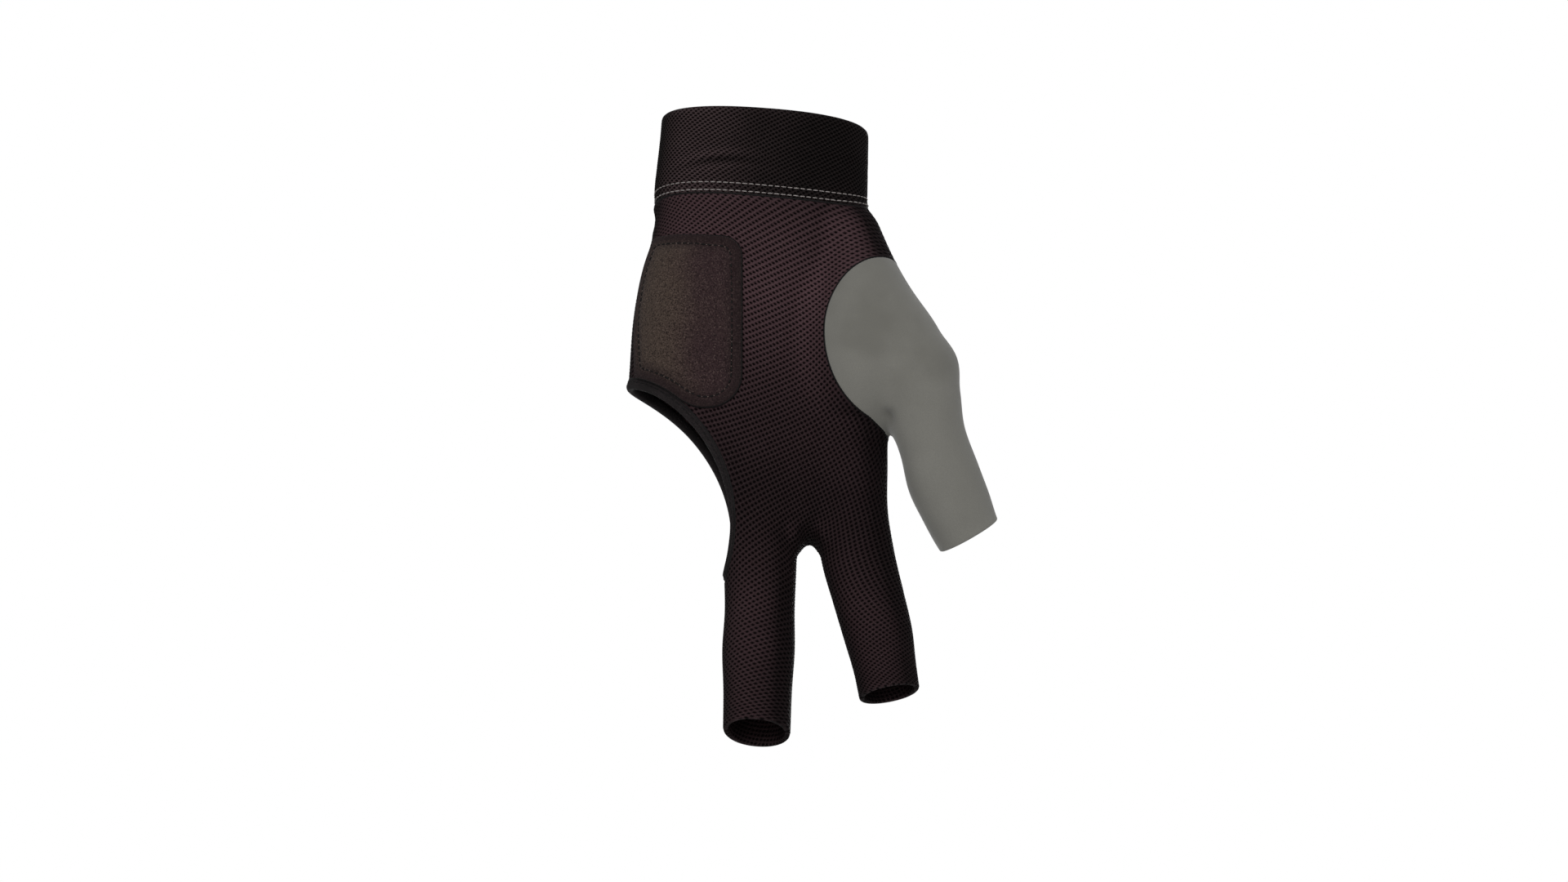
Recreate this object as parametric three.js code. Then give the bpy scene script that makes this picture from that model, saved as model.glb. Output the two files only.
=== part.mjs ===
import * as THREE from "three";

// A billiard glove for the left side, with three open-ended sleeves, in the form it has when worn.
// Sizes are in millimetres. The origin is the middle of the wrist mouth: +Z points up out of it,
// -Y is the palm side and +X is the thumb side. The sleeves point down.

const { Vector3, Vector2 } = THREE;

// Cloth: how far each piece stands out from the glove's outer surface, and how far it reaches in.
const SEAM_GAP = 0.3;
const MESH_CLOTH = { out: 0, in: 1.5 };
const THUMB_CLOTH = { out: 0, in: 1.1 };
const CUFF_CLOTH = { out: 0.7, in: 1.8 };
const BINDING_CLOTH = { out: 0.6, in: 2.0 };
const PATCH_CLOTH = { out: 1.5, in: -0.3 };

// The grid that the surface is read from, and how its points are evened out: the rounds before
// and after the points near a border are held to it, the share of the way to their neighbours'
// middle, the fewest neighbours that move a point, how close to a border a point is held or
// moved onto it, and the steps and limits of the slopes.
const GRID = new Vector3(4.1, 4.1, 5);
const GRID_LOW = new Vector3(-46, -42, -198);
const GRID_HIGH = new Vector3(78, 30, 40);
const FREE_ROUNDS = 4;
const BORDER_ROUNDS = 5;
const EVEN_PULL = 0.5;
const LEAST_COMPANY = 4;
const BORDER_REACH = 1.3;
const BORDER_TOUCH = 0.6;
const LEAST_GAIN = 0.2;
const SMALL = 0.05;
const FACING_STEP = 1.2;
const SHARPEST = 0.6;
const NEARLY_ZERO = 1e-6;

// A table: a list of rows with named columns.
function table(columns, rows) {
  const named = (row) => Object.fromEntries(columns.map((column, i) => [column, row[i]]));
  return rows.map(named);
}

// Sections of the glove's filled form, from the wrist down: the centre, the half width,
// and the half depth towards the palm and towards the back.
const SECTION = ["x", "y", "z", "wide", "front", "back"];
const TRUNK = table(SECTION, [
  [0.6, 0.0, 14, 29.4, 19.5, 19.5],
  [0.0, 0.0, -4, 29.8, 19.5, 19.5],
  [-0.6, 0.0, -14, 30.2, 19.3, 19.3],
  [-1.0, 0.0, -22, 30.6, 18.8, 19.0],
  [-0.6, 0.0, -29, 31.2, 18.0, 18.5],
  [-0.2, -0.3, -36, 32.6, 16.8, 17.5],
  [-0.6, -0.8, -46, 34.6, 15.8, 16.5],
  [-1.2, -1.3, -60, 36.2, 14.8, 15.4],
  [-1.8, -2.0, -78, 37.2, 14.0, 14.6],
  [-3.4, -3.2, -96, 37.6, 13.4, 14.0],
  [-3.6, -4.4, -107, 37.2, 12.4, 12.8],
  [-3.0, -5.6, -115, 36.2, 10.6, 11.0],
]);
const THUMB = table(SECTION, [
  [25.4, -5.0, -36, 8.8, 11.0, 10.0],
  [29.4, -8.5, -52, 12.4, 13.0, 12.0],
  [38.8, -11.0, -70, 14.0, 13.0, 12.5],
  [45.0, -12.5, -85, 11.6, 11.0, 11.0],
  [48.0, -13.0, -97, 10.0, 9.8, 10.0],
  [51.2, -12.6, -108, 10.6, 9.6, 9.8],
  [54.6, -11.6, -116, 10.2, 9.2, 9.4],
  [58.2, -10.2, -124, 9.4, 8.8, 9.0],
  [63.6, -8.4, -132, 9.0, 8.2, 8.4],
]);
const MIDDLE = table(SECTION, [
  [-0.4, -4.5, -100, 10.2, 11.0, 14.0],
  [-0.8, -6.5, -120, 10.4, 10.4, 12.6],
  [-1.0, -9.3, -133, 10.2, 9.6, 10.6],
  [-1.1, -12.8, -146, 9.8, 9.0, 9.5],
  [-1.4, -16.6, -158, 10.1, 9.3, 9.6],
  [-1.6, -20.4, -170, 9.5, 8.7, 9.0],
  [-1.8, -24.0, -181, 9.3, 8.5, 8.8],
  [-2.0, -27.2, -191, 9.1, 8.4, 8.6],
]);
const INDEX = table(SECTION, [
  [24.2, -4.5, -96, 10.6, 11.0, 13.6],
  [24.9, -6.3, -116, 10.4, 10.6, 12.4],
  [27.0, -8.8, -131, 10.4, 9.6, 10.4],
  [29.6, -11.4, -142, 10.1, 9.0, 9.2],
  [32.2, -14.4, -153, 9.7, 9.1, 9.3],
  [34.0, -17.2, -163, 8.8, 8.6, 8.8],
  [35.2, -19.6, -171, 8.5, 8.4, 8.6],
  [36.6, -22.6, -181, 8.3, 8.2, 8.4],
]);
// The full place beside the root of the middle sleeve, which the side opening cuts through.
const ROOT = table(SECTION, [
  [-18.0, -4.5, -96, 9.5, 11.0, 13.0],
  [-20.6, -6.5, -118, 9.2, 10.4, 12.0],
  [-23.6, -9.0, -134, 9.2, 9.6, 10.2],
  [-26.0, -12.0, -146, 9.2, 9.2, 9.4],
]);
const TRUNK_SQUARE = 2.3;
const SLEEVE_SQUARE = 2.1;
const THUMB_BLEND = 5;
const SLEEVE_BLEND = 3;

// Full places on the trunk: under the thumb panel's lobe, along the heel and across the back.
const MOUND_BLEND = 8;
const MOUNDS = table(["x", "y", "z", "wide", "deep", "tall"], [
  [28.0, -9.5, -68, 14.0, 15.0, 25.0],
  [-22.0, -6.0, -64, 12.0, 12.5, 26.0],
  [2.0, 1.6, -104, 30.0, 9.6, 16.0],
]);

// The wrist mouth and the seam under the cuff: a level, its slope across and from front to back,
// and its twist.
const MOUTH = { level: 0, roll: -0.076, tilt: 0.059, twist: 0 };
const CUFF_SEAM = { level: -22.5, roll: -0.018, tilt: 0.075, twist: 0.0038 };

// The side opening, from the heel to the root of the middle sleeve, and the line where its
// binding ends. Both are circles in the XZ plane.
const OPENING = { x: -54.8, z: -122.7, radius: 45.2 };
const BINDING_LINE = { x: -54.8, z: -121.05, radius: 46.6 };

// The thumb panel's lobe: half an ellipse above its middle, a longer one below, and then a
// straight border to the crotch and down between the thumb and index sleeves.
const LOBE = { x: 36.5, z: -66.5, wide: 19.4, up: 21.5, down: 26, leave: 1.39 * Math.PI };
const CROTCH = new Vector2(36.4, -95.9);
const BETWEEN_SLEEVES = new Vector2(49, -140);
const THUMB_FAR = { x: 95, low: -140, high: -49 };

// The patch on the heel: a rectangle with two rounded corners, bounded by the side seam and by
// the binding.
const PATCH = { left: -50, right: -6.4, high: -37.8, low: -88.1, cornerHigh: 6, cornerLow: 9.6 };
const PATCH_FROM_OPENING = 3.5;
const PATCH_BLEND = 3;

// The side seam between the palm and the back: how far forward it lies at each height.
const SIDE_SEAM = table(["z", "y"], [
  [20, 0],
  [-36, -0.3],
  [-78, -2.0],
  [-96, -3.2],
  [-119, -6.4],
  [-133, -9.3],
  [-146, -12.6],
  [-158, -16.4],
  [-170, -20.2],
  [-200, -29.5],
]);

// The open ends of the sleeves: a point on each and the direction in which the sleeve ends.
const MIDDLE_END = { at: new Vector3(-1.8, -27.3, -181.1), past: new Vector3(-0.083, -0.355, -0.931) };
const INDEX_END = { at: new Vector3(35.7, -21.8, -170.3), past: new Vector3(0.185, -0.155, -0.97) };
const THUMB_END = { at: new Vector3(58.6, -12.3, -124.7), past: new Vector3(0.499, 0.251, -0.829) };
const INDEX_FROM_X = 17;

// Points that stand for a quarter turn in an outline.
const ARC_STEPS = 12;

// A smooth curve through values at rising or falling stations.
function curve(stations, values) {
  const rise = (i) => (values[i + 1] - values[i]) / (stations[i + 1] - stations[i]);
  const last = stations.length - 1;
  const slopes = values.map((_, i) => (rise(Math.max(i - 1, 0)) + rise(Math.min(i, last - 1))) / 2);
  const way = Math.sign(stations[last] - stations[0]);
  return (t) => {
    let i = 0;
    while (i < last - 1 && way * (t - stations[i + 1]) > 0) i += 1;
    const span = stations[i + 1] - stations[i];
    const w = THREE.MathUtils.clamp((t - stations[i]) / span, 0, 1);
    const left = (1 + 2 * w) * (1 - w) * (1 - w) * values[i] + w * w * (3 - 2 * w) * values[i + 1];
    return left + span * w * (1 - w) * ((1 - w) * slopes[i] - w * slopes[i + 1]);
  };
}

// The filled form of one sleeve or of the trunk: about the distance to it, negative inside.
function limb(rows, square) {
  const centres = rows.map((row) => new Vector3(row.x, row.y, row.z));
  const start = centres[0];
  const axis = centres.at(-1).clone().sub(start).normalize();
  const side = axis.clone().cross(new Vector3(0, 1, 0)).normalize();
  const depth = side.clone().cross(axis);
  const measure = (way) => centres.map((centre) => centre.clone().sub(start).dot(way));
  const stations = measure(axis);
  const column = (name) => curve(stations, rows.map((row) => row[name]));
  const shape = { wide: column("wide"), front: column("front"), back: column("back") };
  const bend = { side: curve(stations, measure(side)), depth: curve(stations, measure(depth)) };
  return (p) => {
    const q = p.clone().sub(start);
    const t = q.dot(axis);
    const u = q.dot(side) - bend.side(t);
    const v = q.dot(depth) - bend.depth(t);
    const wide = shape.wide(t);
    const high = v < 0 ? shape.front(t) : shape.back(t);
    const end = Math.min(wide, high);
    const parts = [
      [Math.abs(u) / wide, wide],
      [Math.abs(v) / high, high],
      [Math.max(-t, t - stations.at(-1), 0) / end, end],
    ];
    const sum = parts.reduce((total, [share]) => total + share ** square, 0);
    const reach = Math.max(sum ** (1 / square), NEARLY_ZERO);
    const steep = Math.hypot(...parts.map(([share, radius]) => share ** (square - 1) / radius));
    return (reach - 1) / Math.max(steep * reach ** (1 - square), 1 / Math.max(wide, high));
  };
}

// A full place: about the distance to an ellipsoid.
function mound(row) {
  const centre = new Vector3(row.x, row.y, row.z);
  const radii = new Vector3(row.wide, row.deep, row.tall);
  return (p) => {
    const q = p.clone().sub(centre).divide(radii);
    const reach = Math.max(q.length(), NEARLY_ZERO);
    const steep = q.divide(radii).length() / reach;
    return (reach - 1) / Math.max(steep, 1 / row.tall);
  };
}

// The join of two forms with a soft inner corner.
function blend(a, b, radius) {
  const near = Math.max(radius - Math.abs(a - b), 0) / radius;
  return Math.min(a, b) - (near * near * radius) / 4;
}

const trunk = limb(TRUNK, TRUNK_SQUARE);
const mounds = MOUNDS.map(mound);
const thumb = limb(THUMB, SLEEVE_SQUARE);
const sleeves = [ROOT, MIDDLE, INDEX].map((rows) => limb(rows, SLEEVE_SQUARE));

// The glove's filled form: zero on its outer surface, negative inside.
function form(p) {
  let f = trunk(p);
  for (const full of mounds) f = blend(f, full(p), MOUND_BLEND);
  f = blend(f, thumb(p), THUMB_BLEND);
  for (const sleeve of sleeves) f = blend(f, sleeve(p), SLEEVE_BLEND);
  return f;
}

// The slope of a field at a point, from its values a step to each side.
function slope(field, p, step = SMALL) {
  const rise = (axis) => {
    const ahead = p.clone();
    const behind = p.clone();
    ahead[axis] += step;
    behind[axis] -= step;
    return (field(ahead) - field(behind)) / (2 * step);
  };
  return new Vector3(rise("x"), rise("y"), rise("z"));
}

// The direction that the surface faces, evened out over the thickness of a cloth.
const facingAt = (p) => slope(form, p, FACING_STEP).normalize();

// Moves a point straight onto the zero surface of a field.
function settle(field, p) {
  const way = slope(field, p);
  p.addScaledVector(way, -field(p) / Math.max(way.lengthSq(), NEARLY_ZERO));
}

// The outer surface as a net, read from the field on a grid: a point in each cell that the
// surface crosses, and a four-cornered face round each grid edge that it crosses.
function surfaceNet(field) {
  const count = ["x", "y", "z"].map((a) => Math.ceil((GRID_HIGH[a] - GRID_LOW[a]) / GRID[a]) + 1);
  const place = (i, j, k) => new Vector3(i, j, k).multiply(GRID).add(GRID_LOW);
  const slot = (i, j, k) => (i * count[1] + j) * count[2] + k;
  const value = new Float64Array(count[0] * count[1] * count[2]);
  const each = (less, work) => {
    for (let i = 0; i < count[0] - less; i += 1)
      for (let j = 0; j < count[1] - less; j += 1)
        for (let k = 0; k < count[2] - less; k += 1) work([i, j, k]);
  };
  each(0, ([i, j, k]) => {
    value[slot(i, j, k)] = field(place(i, j, k));
  });
  const sum = new Map();
  const quads = [];
  const step = (cell, axis, by) => cell.map((n, a) => (a === axis ? n + by : n));
  each(1, (cell) => {
    for (const axis of [0, 1, 2]) {
      const next = step(cell, axis, 1);
      const [low, high] = [value[slot(...cell)], value[slot(...next)]];
      if (low < 0 === high < 0) continue;
      const [b, c] = [(axis + 1) % 3, (axis + 2) % 3];
      if (cell[b] === 0 || cell[c] === 0) continue;
      const crossing = place(...cell).lerp(place(...next), low / (low - high));
      const corner = step(step(cell, b, -1), c, -1);
      const ring = [corner, step(corner, b, 1), cell, step(corner, c, 1)].map((at) => slot(...at));
      quads.push(low < 0 ? ring : ring.reverse());
      for (const key of ring) {
        if (!sum.has(key)) sum.set(key, []);
        sum.get(key).push(crossing);
      }
    }
  });
  const index = new Map([...sum.keys()].map((key, i) => [key, i]));
  const mean = (list) => list.reduce((a, p) => a.add(p), new Vector3()).divideScalar(list.length);
  return { points: [...sum.values()].map(mean), quads: quads.map((q) => q.map((key) => index.get(key))) };
}

// How far a border is from a point, and the move along the surface that takes the point onto it.
function wayOnto(border, p) {
  const facing = slope(form, p).normalize();
  const move = slope(border, p);
  move.addScaledVector(facing, -move.dot(facing));
  const gain = Math.max(move.length(), LEAST_GAIN);
  return { far: Math.abs(border(p)) / gain, move: move.multiplyScalar(-border(p) / gain ** 2) };
}

// The border that a point lies closest to, where it lies within reach.
function nearestBorder(borders, p) {
  const reach = borders.map((border) => wayOnto(border, p).far);
  const least = Math.min(...reach);
  return least < BORDER_REACH ? borders[reach.indexOf(least)] : null;
}

// Spreads the points evenly over the surface. After the first rounds, the points close to a
// border are drawn onto it, and from then on they spread along it.
function evenOut({ points, quads }, borders) {
  const near = points.map(() => []);
  for (const quad of quads) quad.forEach((at, i) => near[at].push(quad[(i + 1) % 4], quad[(i + 3) % 4]));
  let held = points.map(() => null);
  for (let round = 0; round <= FREE_ROUNDS + BORDER_ROUNDS; round += 1) {
    const old = points.map((p) => p.clone());
    points.forEach((p, i) => {
      const company = held[i] ? near[i].filter((n) => held[n] === held[i]) : near[i];
      const middle = company.reduce((a, n) => a.add(old[n]), new Vector3()).divideScalar(company.length);
      if (round && company.length >= LEAST_COMPANY) p.lerp(middle, EVEN_PULL);
      settle(form, p);
      if (held[i]) p.add(wayOnto(held[i], p).move);
      settle(form, p);
    });
    if (round === FREE_ROUNDS) held = points.map((p) => nearestBorder(borders, p));
  }
}

// A sheet: points, and three-cornered faces that turn left seen from outside. Each face of the
// net is cut along its shorter diagonal.
function threeCornered({ points, quads }) {
  const faces = [];
  for (const [a, b, c, d] of quads) {
    const across = points[a].distanceTo(points[c]) < points[b].distanceTo(points[d]);
    if (across) faces.push([a, b, c], [a, c, d]);
    else faces.push([a, b, d], [b, c, d]);
  }
  return { points, faces };
}

// The part of a sheet where the border's value is negative. Points beside the border are first
// moved onto it, so that no face is a sliver.
function cut(sheet, border) {
  const points = sheet.points.map((p) => p.clone());
  const value = points.map((p) => {
    const { far, move } = wayOnto(border, p);
    if (far > BORDER_TOUCH) return border(p);
    p.add(move);
    settle(form, p);
    return 0;
  });
  const crossings = new Map();
  const crossing = (a, b) => {
    const key = a < b ? `${a} ${b}` : `${b} ${a}`;
    if (!crossings.has(key)) {
      const [from, to] = a < b ? [a, b] : [b, a];
      crossings.set(key, points.length);
      points.push(points[from].clone().lerp(points[to], value[from] / (value[from] - value[to])));
      settle(form, points.at(-1));
    }
    return crossings.get(key);
  };
  const faces = [];
  for (const face of sheet.faces) {
    if (face.every((at) => value[at] >= 0)) continue;
    const ring = [];
    face.forEach((at, i) => {
      const next = face[(i + 1) % 3];
      if (value[at] <= 0) ring.push(at);
      if (value[at] * value[next] < 0) ring.push(crossing(at, next));
    });
    if (ring.length === 3) faces.push(ring);
    if (ring.length !== 4) continue;
    const [a, b, c, d] = ring;
    const across = points[a].distanceTo(points[c]) < points[b].distanceTo(points[d]);
    if (across) faces.push([a, b, c], [a, c, d]);
    else faces.push([a, b, d], [b, c, d]);
  }
  return largest({ points, faces });
}

// Keeps the largest connected part of a sheet, and only the points that it uses.
function largest({ points, faces }) {
  const group = points.map((_, i) => i);
  const root = (i) => {
    while (group[i] !== i) i = group[i] = group[group[i]];
    return i;
  };
  for (const [a, b, c] of faces) {
    group[root(a)] = root(b);
    group[root(b)] = root(c);
  }
  const size = new Map();
  for (const [a] of faces) size.set(root(a), (size.get(root(a)) ?? 0) + 1);
  const best = [...size].sort((a, b) => b[1] - a[1])[0][0];
  const index = new Map();
  const kept = [];
  const use = (at) => {
    if (!index.has(at)) index.set(at, kept.push(points[at]) - 1);
    return index.get(at);
  };
  const chosen = faces.filter(([a]) => root(a) === best).map((face) => face.map(use));
  return { points: kept, faces: chosen };
}

// The edges of a sheet that only one face uses, each in the direction of that face.
function rim({ faces }) {
  const sides = faces.flatMap((face) => face.map((a, i) => [a, face[(i + 1) % 3]]));
  const edges = new Map(sides.map(([a, b]) => [`${a} ${b}`, [a, b]]));
  return [...edges.values()].filter(([a, b]) => !edges.has(`${b} ${a}`));
}

// The points of a sheet with its rim drawn back by half a seam gap, and its corners along
// their middle.
function trimmed(sheet, facing) {
  const inward = new Map();
  for (const [a, b] of rim(sheet)) {
    const along = sheet.points[b].clone().sub(sheet.points[a]).normalize();
    for (const at of [a, b]) {
      const way = facing[at].clone().cross(along);
      inward.set(at, (inward.get(at) ?? new Vector3()).add(way));
    }
  }
  return sheet.points.map((p, i) => {
    const way = inward.get(i);
    return way ? p.clone().addScaledVector(way, SEAM_GAP / Math.max(way.lengthSq(), SHARPEST)) : p;
  });
}

// A closed wall of cloth on a sheet, a seam gap clear of its neighbours.
function wall(sheet, cloth) {
  const facing = sheet.points.map(facingAt);
  const drawn = trimmed(sheet, facing);
  const layer = (off) => drawn.map((p, i) => p.clone().addScaledVector(facing[i], off));
  const points = [...layer(cloth.out), ...layer(-cloth.in)];
  const inner = sheet.points.length;
  const faces = sheet.faces.flatMap(([a, b, c]) => [
    [a, b, c],
    [c + inner, b + inner, a + inner],
  ]);
  for (const [a, b] of rim(sheet)) faces.push([b, a, a + inner], [b, a + inner, b + inner]);
  const geometry = new THREE.BufferGeometry().setFromPoints(points);
  geometry.setIndex(faces.flat());
  geometry.computeVertexNormals();
  return geometry;
}

// Borders. Each is negative on the side that its name gives.
const flip = (border) => (p) => -border(p);
const height = (ring, p) => ring.level + ring.roll * p.x + ring.tilt * p.y + ring.twist * p.x * p.y;
const belowMouth = (p) => p.z - height(MOUTH, p);
const belowCuff = (p) => p.z - height(CUFF_SEAM, p);
const clearOf = (circle) => (p) => circle.radius - Math.hypot(p.x - circle.x, p.z - circle.z);
const clearOfOpening = clearOf(OPENING);
const clearOfBinding = clearOf(BINDING_LINE);
const clearForPatch = clearOf({ ...OPENING, radius: OPENING.radius + PATCH_FROM_OPENING });
const before = (end) => (p) => p.clone().sub(end.at).dot(end.past);
const beforeMiddleEnd = before(MIDDLE_END);
const beforeIndexEnd = (p) => Math.min(before(INDEX_END)(p), p.x - INDEX_FROM_X);
const beforeThumbEnd = before(THUMB_END);
const seamForward = curve(SIDE_SEAM.map((row) => row.z), SIDE_SEAM.map((row) => row.y));
const palmSide = (p) => p.y - seamForward(p.z);

// The signed distance to a closed outline in the XZ plane, negative inside it.
function within(shape) {
  const corners = shape.getPoints(ARC_STEPS);
  return (p) => {
    const at = new Vector2(p.x, p.z);
    let least = Infinity;
    let inside = false;
    corners.forEach((a, i) => {
      const b = corners[(i + 1) % corners.length];
      const edge = b.clone().sub(a);
      const along = at.clone().sub(a).dot(edge) / Math.max(edge.lengthSq(), NEARLY_ZERO);
      const share = THREE.MathUtils.clamp(along, 0, 1);
      least = Math.min(least, at.distanceTo(a.clone().addScaledVector(edge, share)));
      if (a.y > at.y !== b.y > at.y && at.x < a.x + (edge.x * (at.y - a.y)) / edge.y) inside = !inside;
    });
    return inside ? -least : least;
  };
}

function thumbOutline() {
  const shape = new THREE.Shape();
  shape.moveTo(THUMB_FAR.x, THUMB_FAR.high);
  shape.lineTo(LOBE.x, LOBE.z + LOBE.up);
  shape.absellipse(LOBE.x, LOBE.z, LOBE.wide, LOBE.up, Math.PI / 2, Math.PI, false, 0);
  shape.absellipse(LOBE.x, LOBE.z, LOBE.wide, LOBE.down, Math.PI, LOBE.leave, false, 0);
  shape.lineTo(CROTCH.x, CROTCH.y);
  shape.lineTo(BETWEEN_SLEEVES.x, BETWEEN_SLEEVES.y);
  shape.lineTo(THUMB_FAR.x, THUMB_FAR.low);
  return shape;
}

function patchOutline() {
  const { left, right, high, low, cornerHigh, cornerLow } = PATCH;
  const shape = new THREE.Shape();
  shape.moveTo(left, low);
  shape.lineTo(right - cornerLow, low);
  shape.absarc(right - cornerLow, low + cornerLow, cornerLow, -Math.PI / 2, 0, false);
  shape.absarc(right - cornerHigh, high - cornerHigh, cornerHigh, 0, Math.PI / 2, false);
  shape.lineTo(left, high);
  return shape;
}

const onThumb = within(thumbOutline());
const inPatchOutline = within(patchOutline());
const onPatch = (p) => -blend(-inPatchOutline(p), -clearForPatch(p), PATCH_BLEND);

// The whole outer surface, with points along every border, and its parts.
function gloveSheet() {
  const net = surfaceNet(form);
  evenOut(net, [palmSide, clearOfOpening, clearOfBinding, onThumb, onPatch, belowCuff]);
  return cut(threeCornered(net), belowMouth);
}

const whole = gloveSheet();
const cuffSheet = cut(whole, flip(belowCuff));
const belowCuffSheet = cut(whole, belowCuff);
const thumbSheet = cut(cut(belowCuffSheet, onThumb), beforeThumbEnd);
const bodyBorders = [clearOfOpening, flip(onThumb), beforeMiddleEnd, beforeIndexEnd];
const bodySheet = bodyBorders.reduce(cut, belowCuffSheet);
const bindingSheet = cut(bodySheet, flip(clearOfBinding));
const panelSheet = cut(bodySheet, clearOfBinding);
const palmSheet = cut(panelSheet, palmSide);
const backSheet = cut(panelSheet, flip(palmSide));
const patchSheet = cut(palmSheet, onPatch);

const fabric = (color, roughness) => new THREE.MeshStandardMaterial({ color, roughness, metalness: 0 });
const airMesh = fabric(0x241c1d, 0.85);
const cuffMesh = fabric(0x1c1617, 0.85);
const stretchCloth = fabric(0x6b6a65, 0.9);
const suede = fabric(0x352b2a, 0.95);
const tape = fabric(0x151213, 0.8);

const glove = new THREE.Group();
function add(name, sheet, cloth, material) {
  const mesh = new THREE.Mesh(wall(sheet, cloth), material);
  mesh.name = name;
  glove.add(mesh);
}

add("wrist_cuff", cuffSheet, CUFF_CLOTH, cuffMesh);
add("palm_panel", palmSheet, MESH_CLOTH, airMesh);
add("back_panel", backSheet, MESH_CLOTH, airMesh);
add("thumb_panel", thumbSheet, THUMB_CLOTH, stretchCloth);
add("palm_patch", patchSheet, PATCH_CLOTH, suede);
add("opening_binding", bindingSheet, BINDING_CLOTH, tape);

export default glove;
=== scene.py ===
# %% [markdown]
# # A billiard glove
# This notebook dresses a cue-sports glove: a body of knitted air mesh with three open sleeves, a
# smooth grey thumb panel, a doubled wrist cuff with two rows of light topstitching, a suede-like
# patch on the heel and a bound opening at the side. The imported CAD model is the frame. It says
# where each panel is, and each cell below replaces one plain panel with a finished one.

# %% Load the frame
import math

import bpy
import numpy as np
from mathutils import Color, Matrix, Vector
from mathutils.bvhtree import BVHTree

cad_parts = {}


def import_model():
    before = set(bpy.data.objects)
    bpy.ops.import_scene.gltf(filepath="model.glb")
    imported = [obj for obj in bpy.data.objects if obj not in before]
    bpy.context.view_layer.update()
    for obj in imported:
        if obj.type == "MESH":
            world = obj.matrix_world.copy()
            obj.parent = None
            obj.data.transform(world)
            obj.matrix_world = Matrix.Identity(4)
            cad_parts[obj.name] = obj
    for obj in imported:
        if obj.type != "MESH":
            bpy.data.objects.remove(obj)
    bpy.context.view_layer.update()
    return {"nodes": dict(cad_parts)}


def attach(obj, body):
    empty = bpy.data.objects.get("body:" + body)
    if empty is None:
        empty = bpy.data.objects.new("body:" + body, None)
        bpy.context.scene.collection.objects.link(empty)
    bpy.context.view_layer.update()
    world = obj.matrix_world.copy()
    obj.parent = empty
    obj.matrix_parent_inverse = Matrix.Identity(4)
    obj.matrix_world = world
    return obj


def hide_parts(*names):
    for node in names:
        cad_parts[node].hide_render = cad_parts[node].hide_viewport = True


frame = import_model()
MM = 0.001
print("CAD nodes:", ", ".join(sorted(frame["nodes"])))

# %% [markdown]
# ## The form
# A glove takes its form from what it is pulled over. The CAD model describes that form as a field:
# a few rounded limbs, each given by sections, joined with soft corners. A field has a value at any
# point, below zero inside, so the same form can be read here as finely as the cloth needs. Reading
# it again is better than smoothing the coarse panels, because the seams stay where they are.
# Sizes in this script are millimetres until a mesh is made.

# %% Sections of the form
SECTION = "x y z wide front back"


def table(columns, rows):
    """Numbers under named columns."""
    values = np.array(rows, float)
    return {name: values[:, i] for i, name in enumerate(columns.split())}


TRUNK = table(SECTION, [
    (0.6, 0.0, 14, 29.4, 19.5, 19.5),
    (0.0, 0.0, -4, 29.8, 19.5, 19.5),
    (-0.6, 0.0, -14, 30.2, 19.3, 19.3),
    (-1.0, 0.0, -22, 30.6, 18.8, 19.0),
    (-0.6, 0.0, -29, 31.2, 18.0, 18.5),
    (-0.2, -0.3, -36, 32.6, 16.8, 17.5),
    (-0.6, -0.8, -46, 34.6, 15.8, 16.5),
    (-1.2, -1.3, -60, 36.2, 14.8, 15.4),
    (-1.8, -2.0, -78, 37.2, 14.0, 14.6),
    (-3.4, -3.2, -96, 37.6, 13.4, 14.0),
    (-3.6, -4.4, -107, 37.2, 12.4, 12.8),
    (-3.0, -5.6, -115, 36.2, 10.6, 11.0),
])
THUMB = table(SECTION, [
    (25.4, -5.0, -36, 8.8, 11.0, 10.0),
    (29.4, -8.5, -52, 11.2, 13.0, 12.0),
    (38.8, -11.0, -70, 12.8, 13.0, 12.5),
    (45.0, -12.5, -85, 11.6, 11.0, 11.0),
    (48.0, -13.0, -97, 10.0, 9.8, 10.0),
    (51.2, -12.6, -108, 10.6, 9.6, 9.8),
    (54.6, -11.6, -116, 10.2, 9.2, 9.4),
    (58.2, -10.2, -124, 9.4, 8.8, 9.0),
    (63.6, -8.4, -132, 9.0, 8.2, 8.4),
])
MIDDLE = table(SECTION, [
    (-0.4, -4.5, -100, 10.2, 11.0, 14.0),
    (-0.8, -6.5, -120, 10.4, 10.4, 12.6),
    (-1.0, -9.3, -133, 10.2, 9.6, 10.6),
    (-1.1, -12.8, -146, 9.8, 9.0, 9.5),
    (-1.4, -16.6, -158, 10.1, 9.3, 9.6),
    (-1.6, -20.4, -170, 9.5, 8.7, 9.0),
    (-1.8, -24.0, -181, 9.3, 8.5, 8.8),
    (-2.0, -27.2, -191, 9.1, 8.4, 8.6),
])
INDEX = table(SECTION, [
    (24.2, -4.5, -96, 10.6, 11.0, 13.6),
    (24.9, -6.3, -116, 10.4, 10.6, 12.4),
    (27.0, -8.8, -131, 10.4, 9.6, 10.4),
    (29.6, -11.4, -142, 10.1, 9.0, 9.2),
    (32.2, -14.4, -153, 9.7, 9.1, 9.3),
    (34.0, -17.2, -163, 8.8, 8.6, 8.8),
    (35.2, -19.6, -171, 8.5, 8.4, 8.6),
    (36.6, -22.6, -181, 8.3, 8.2, 8.4),
])
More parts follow.
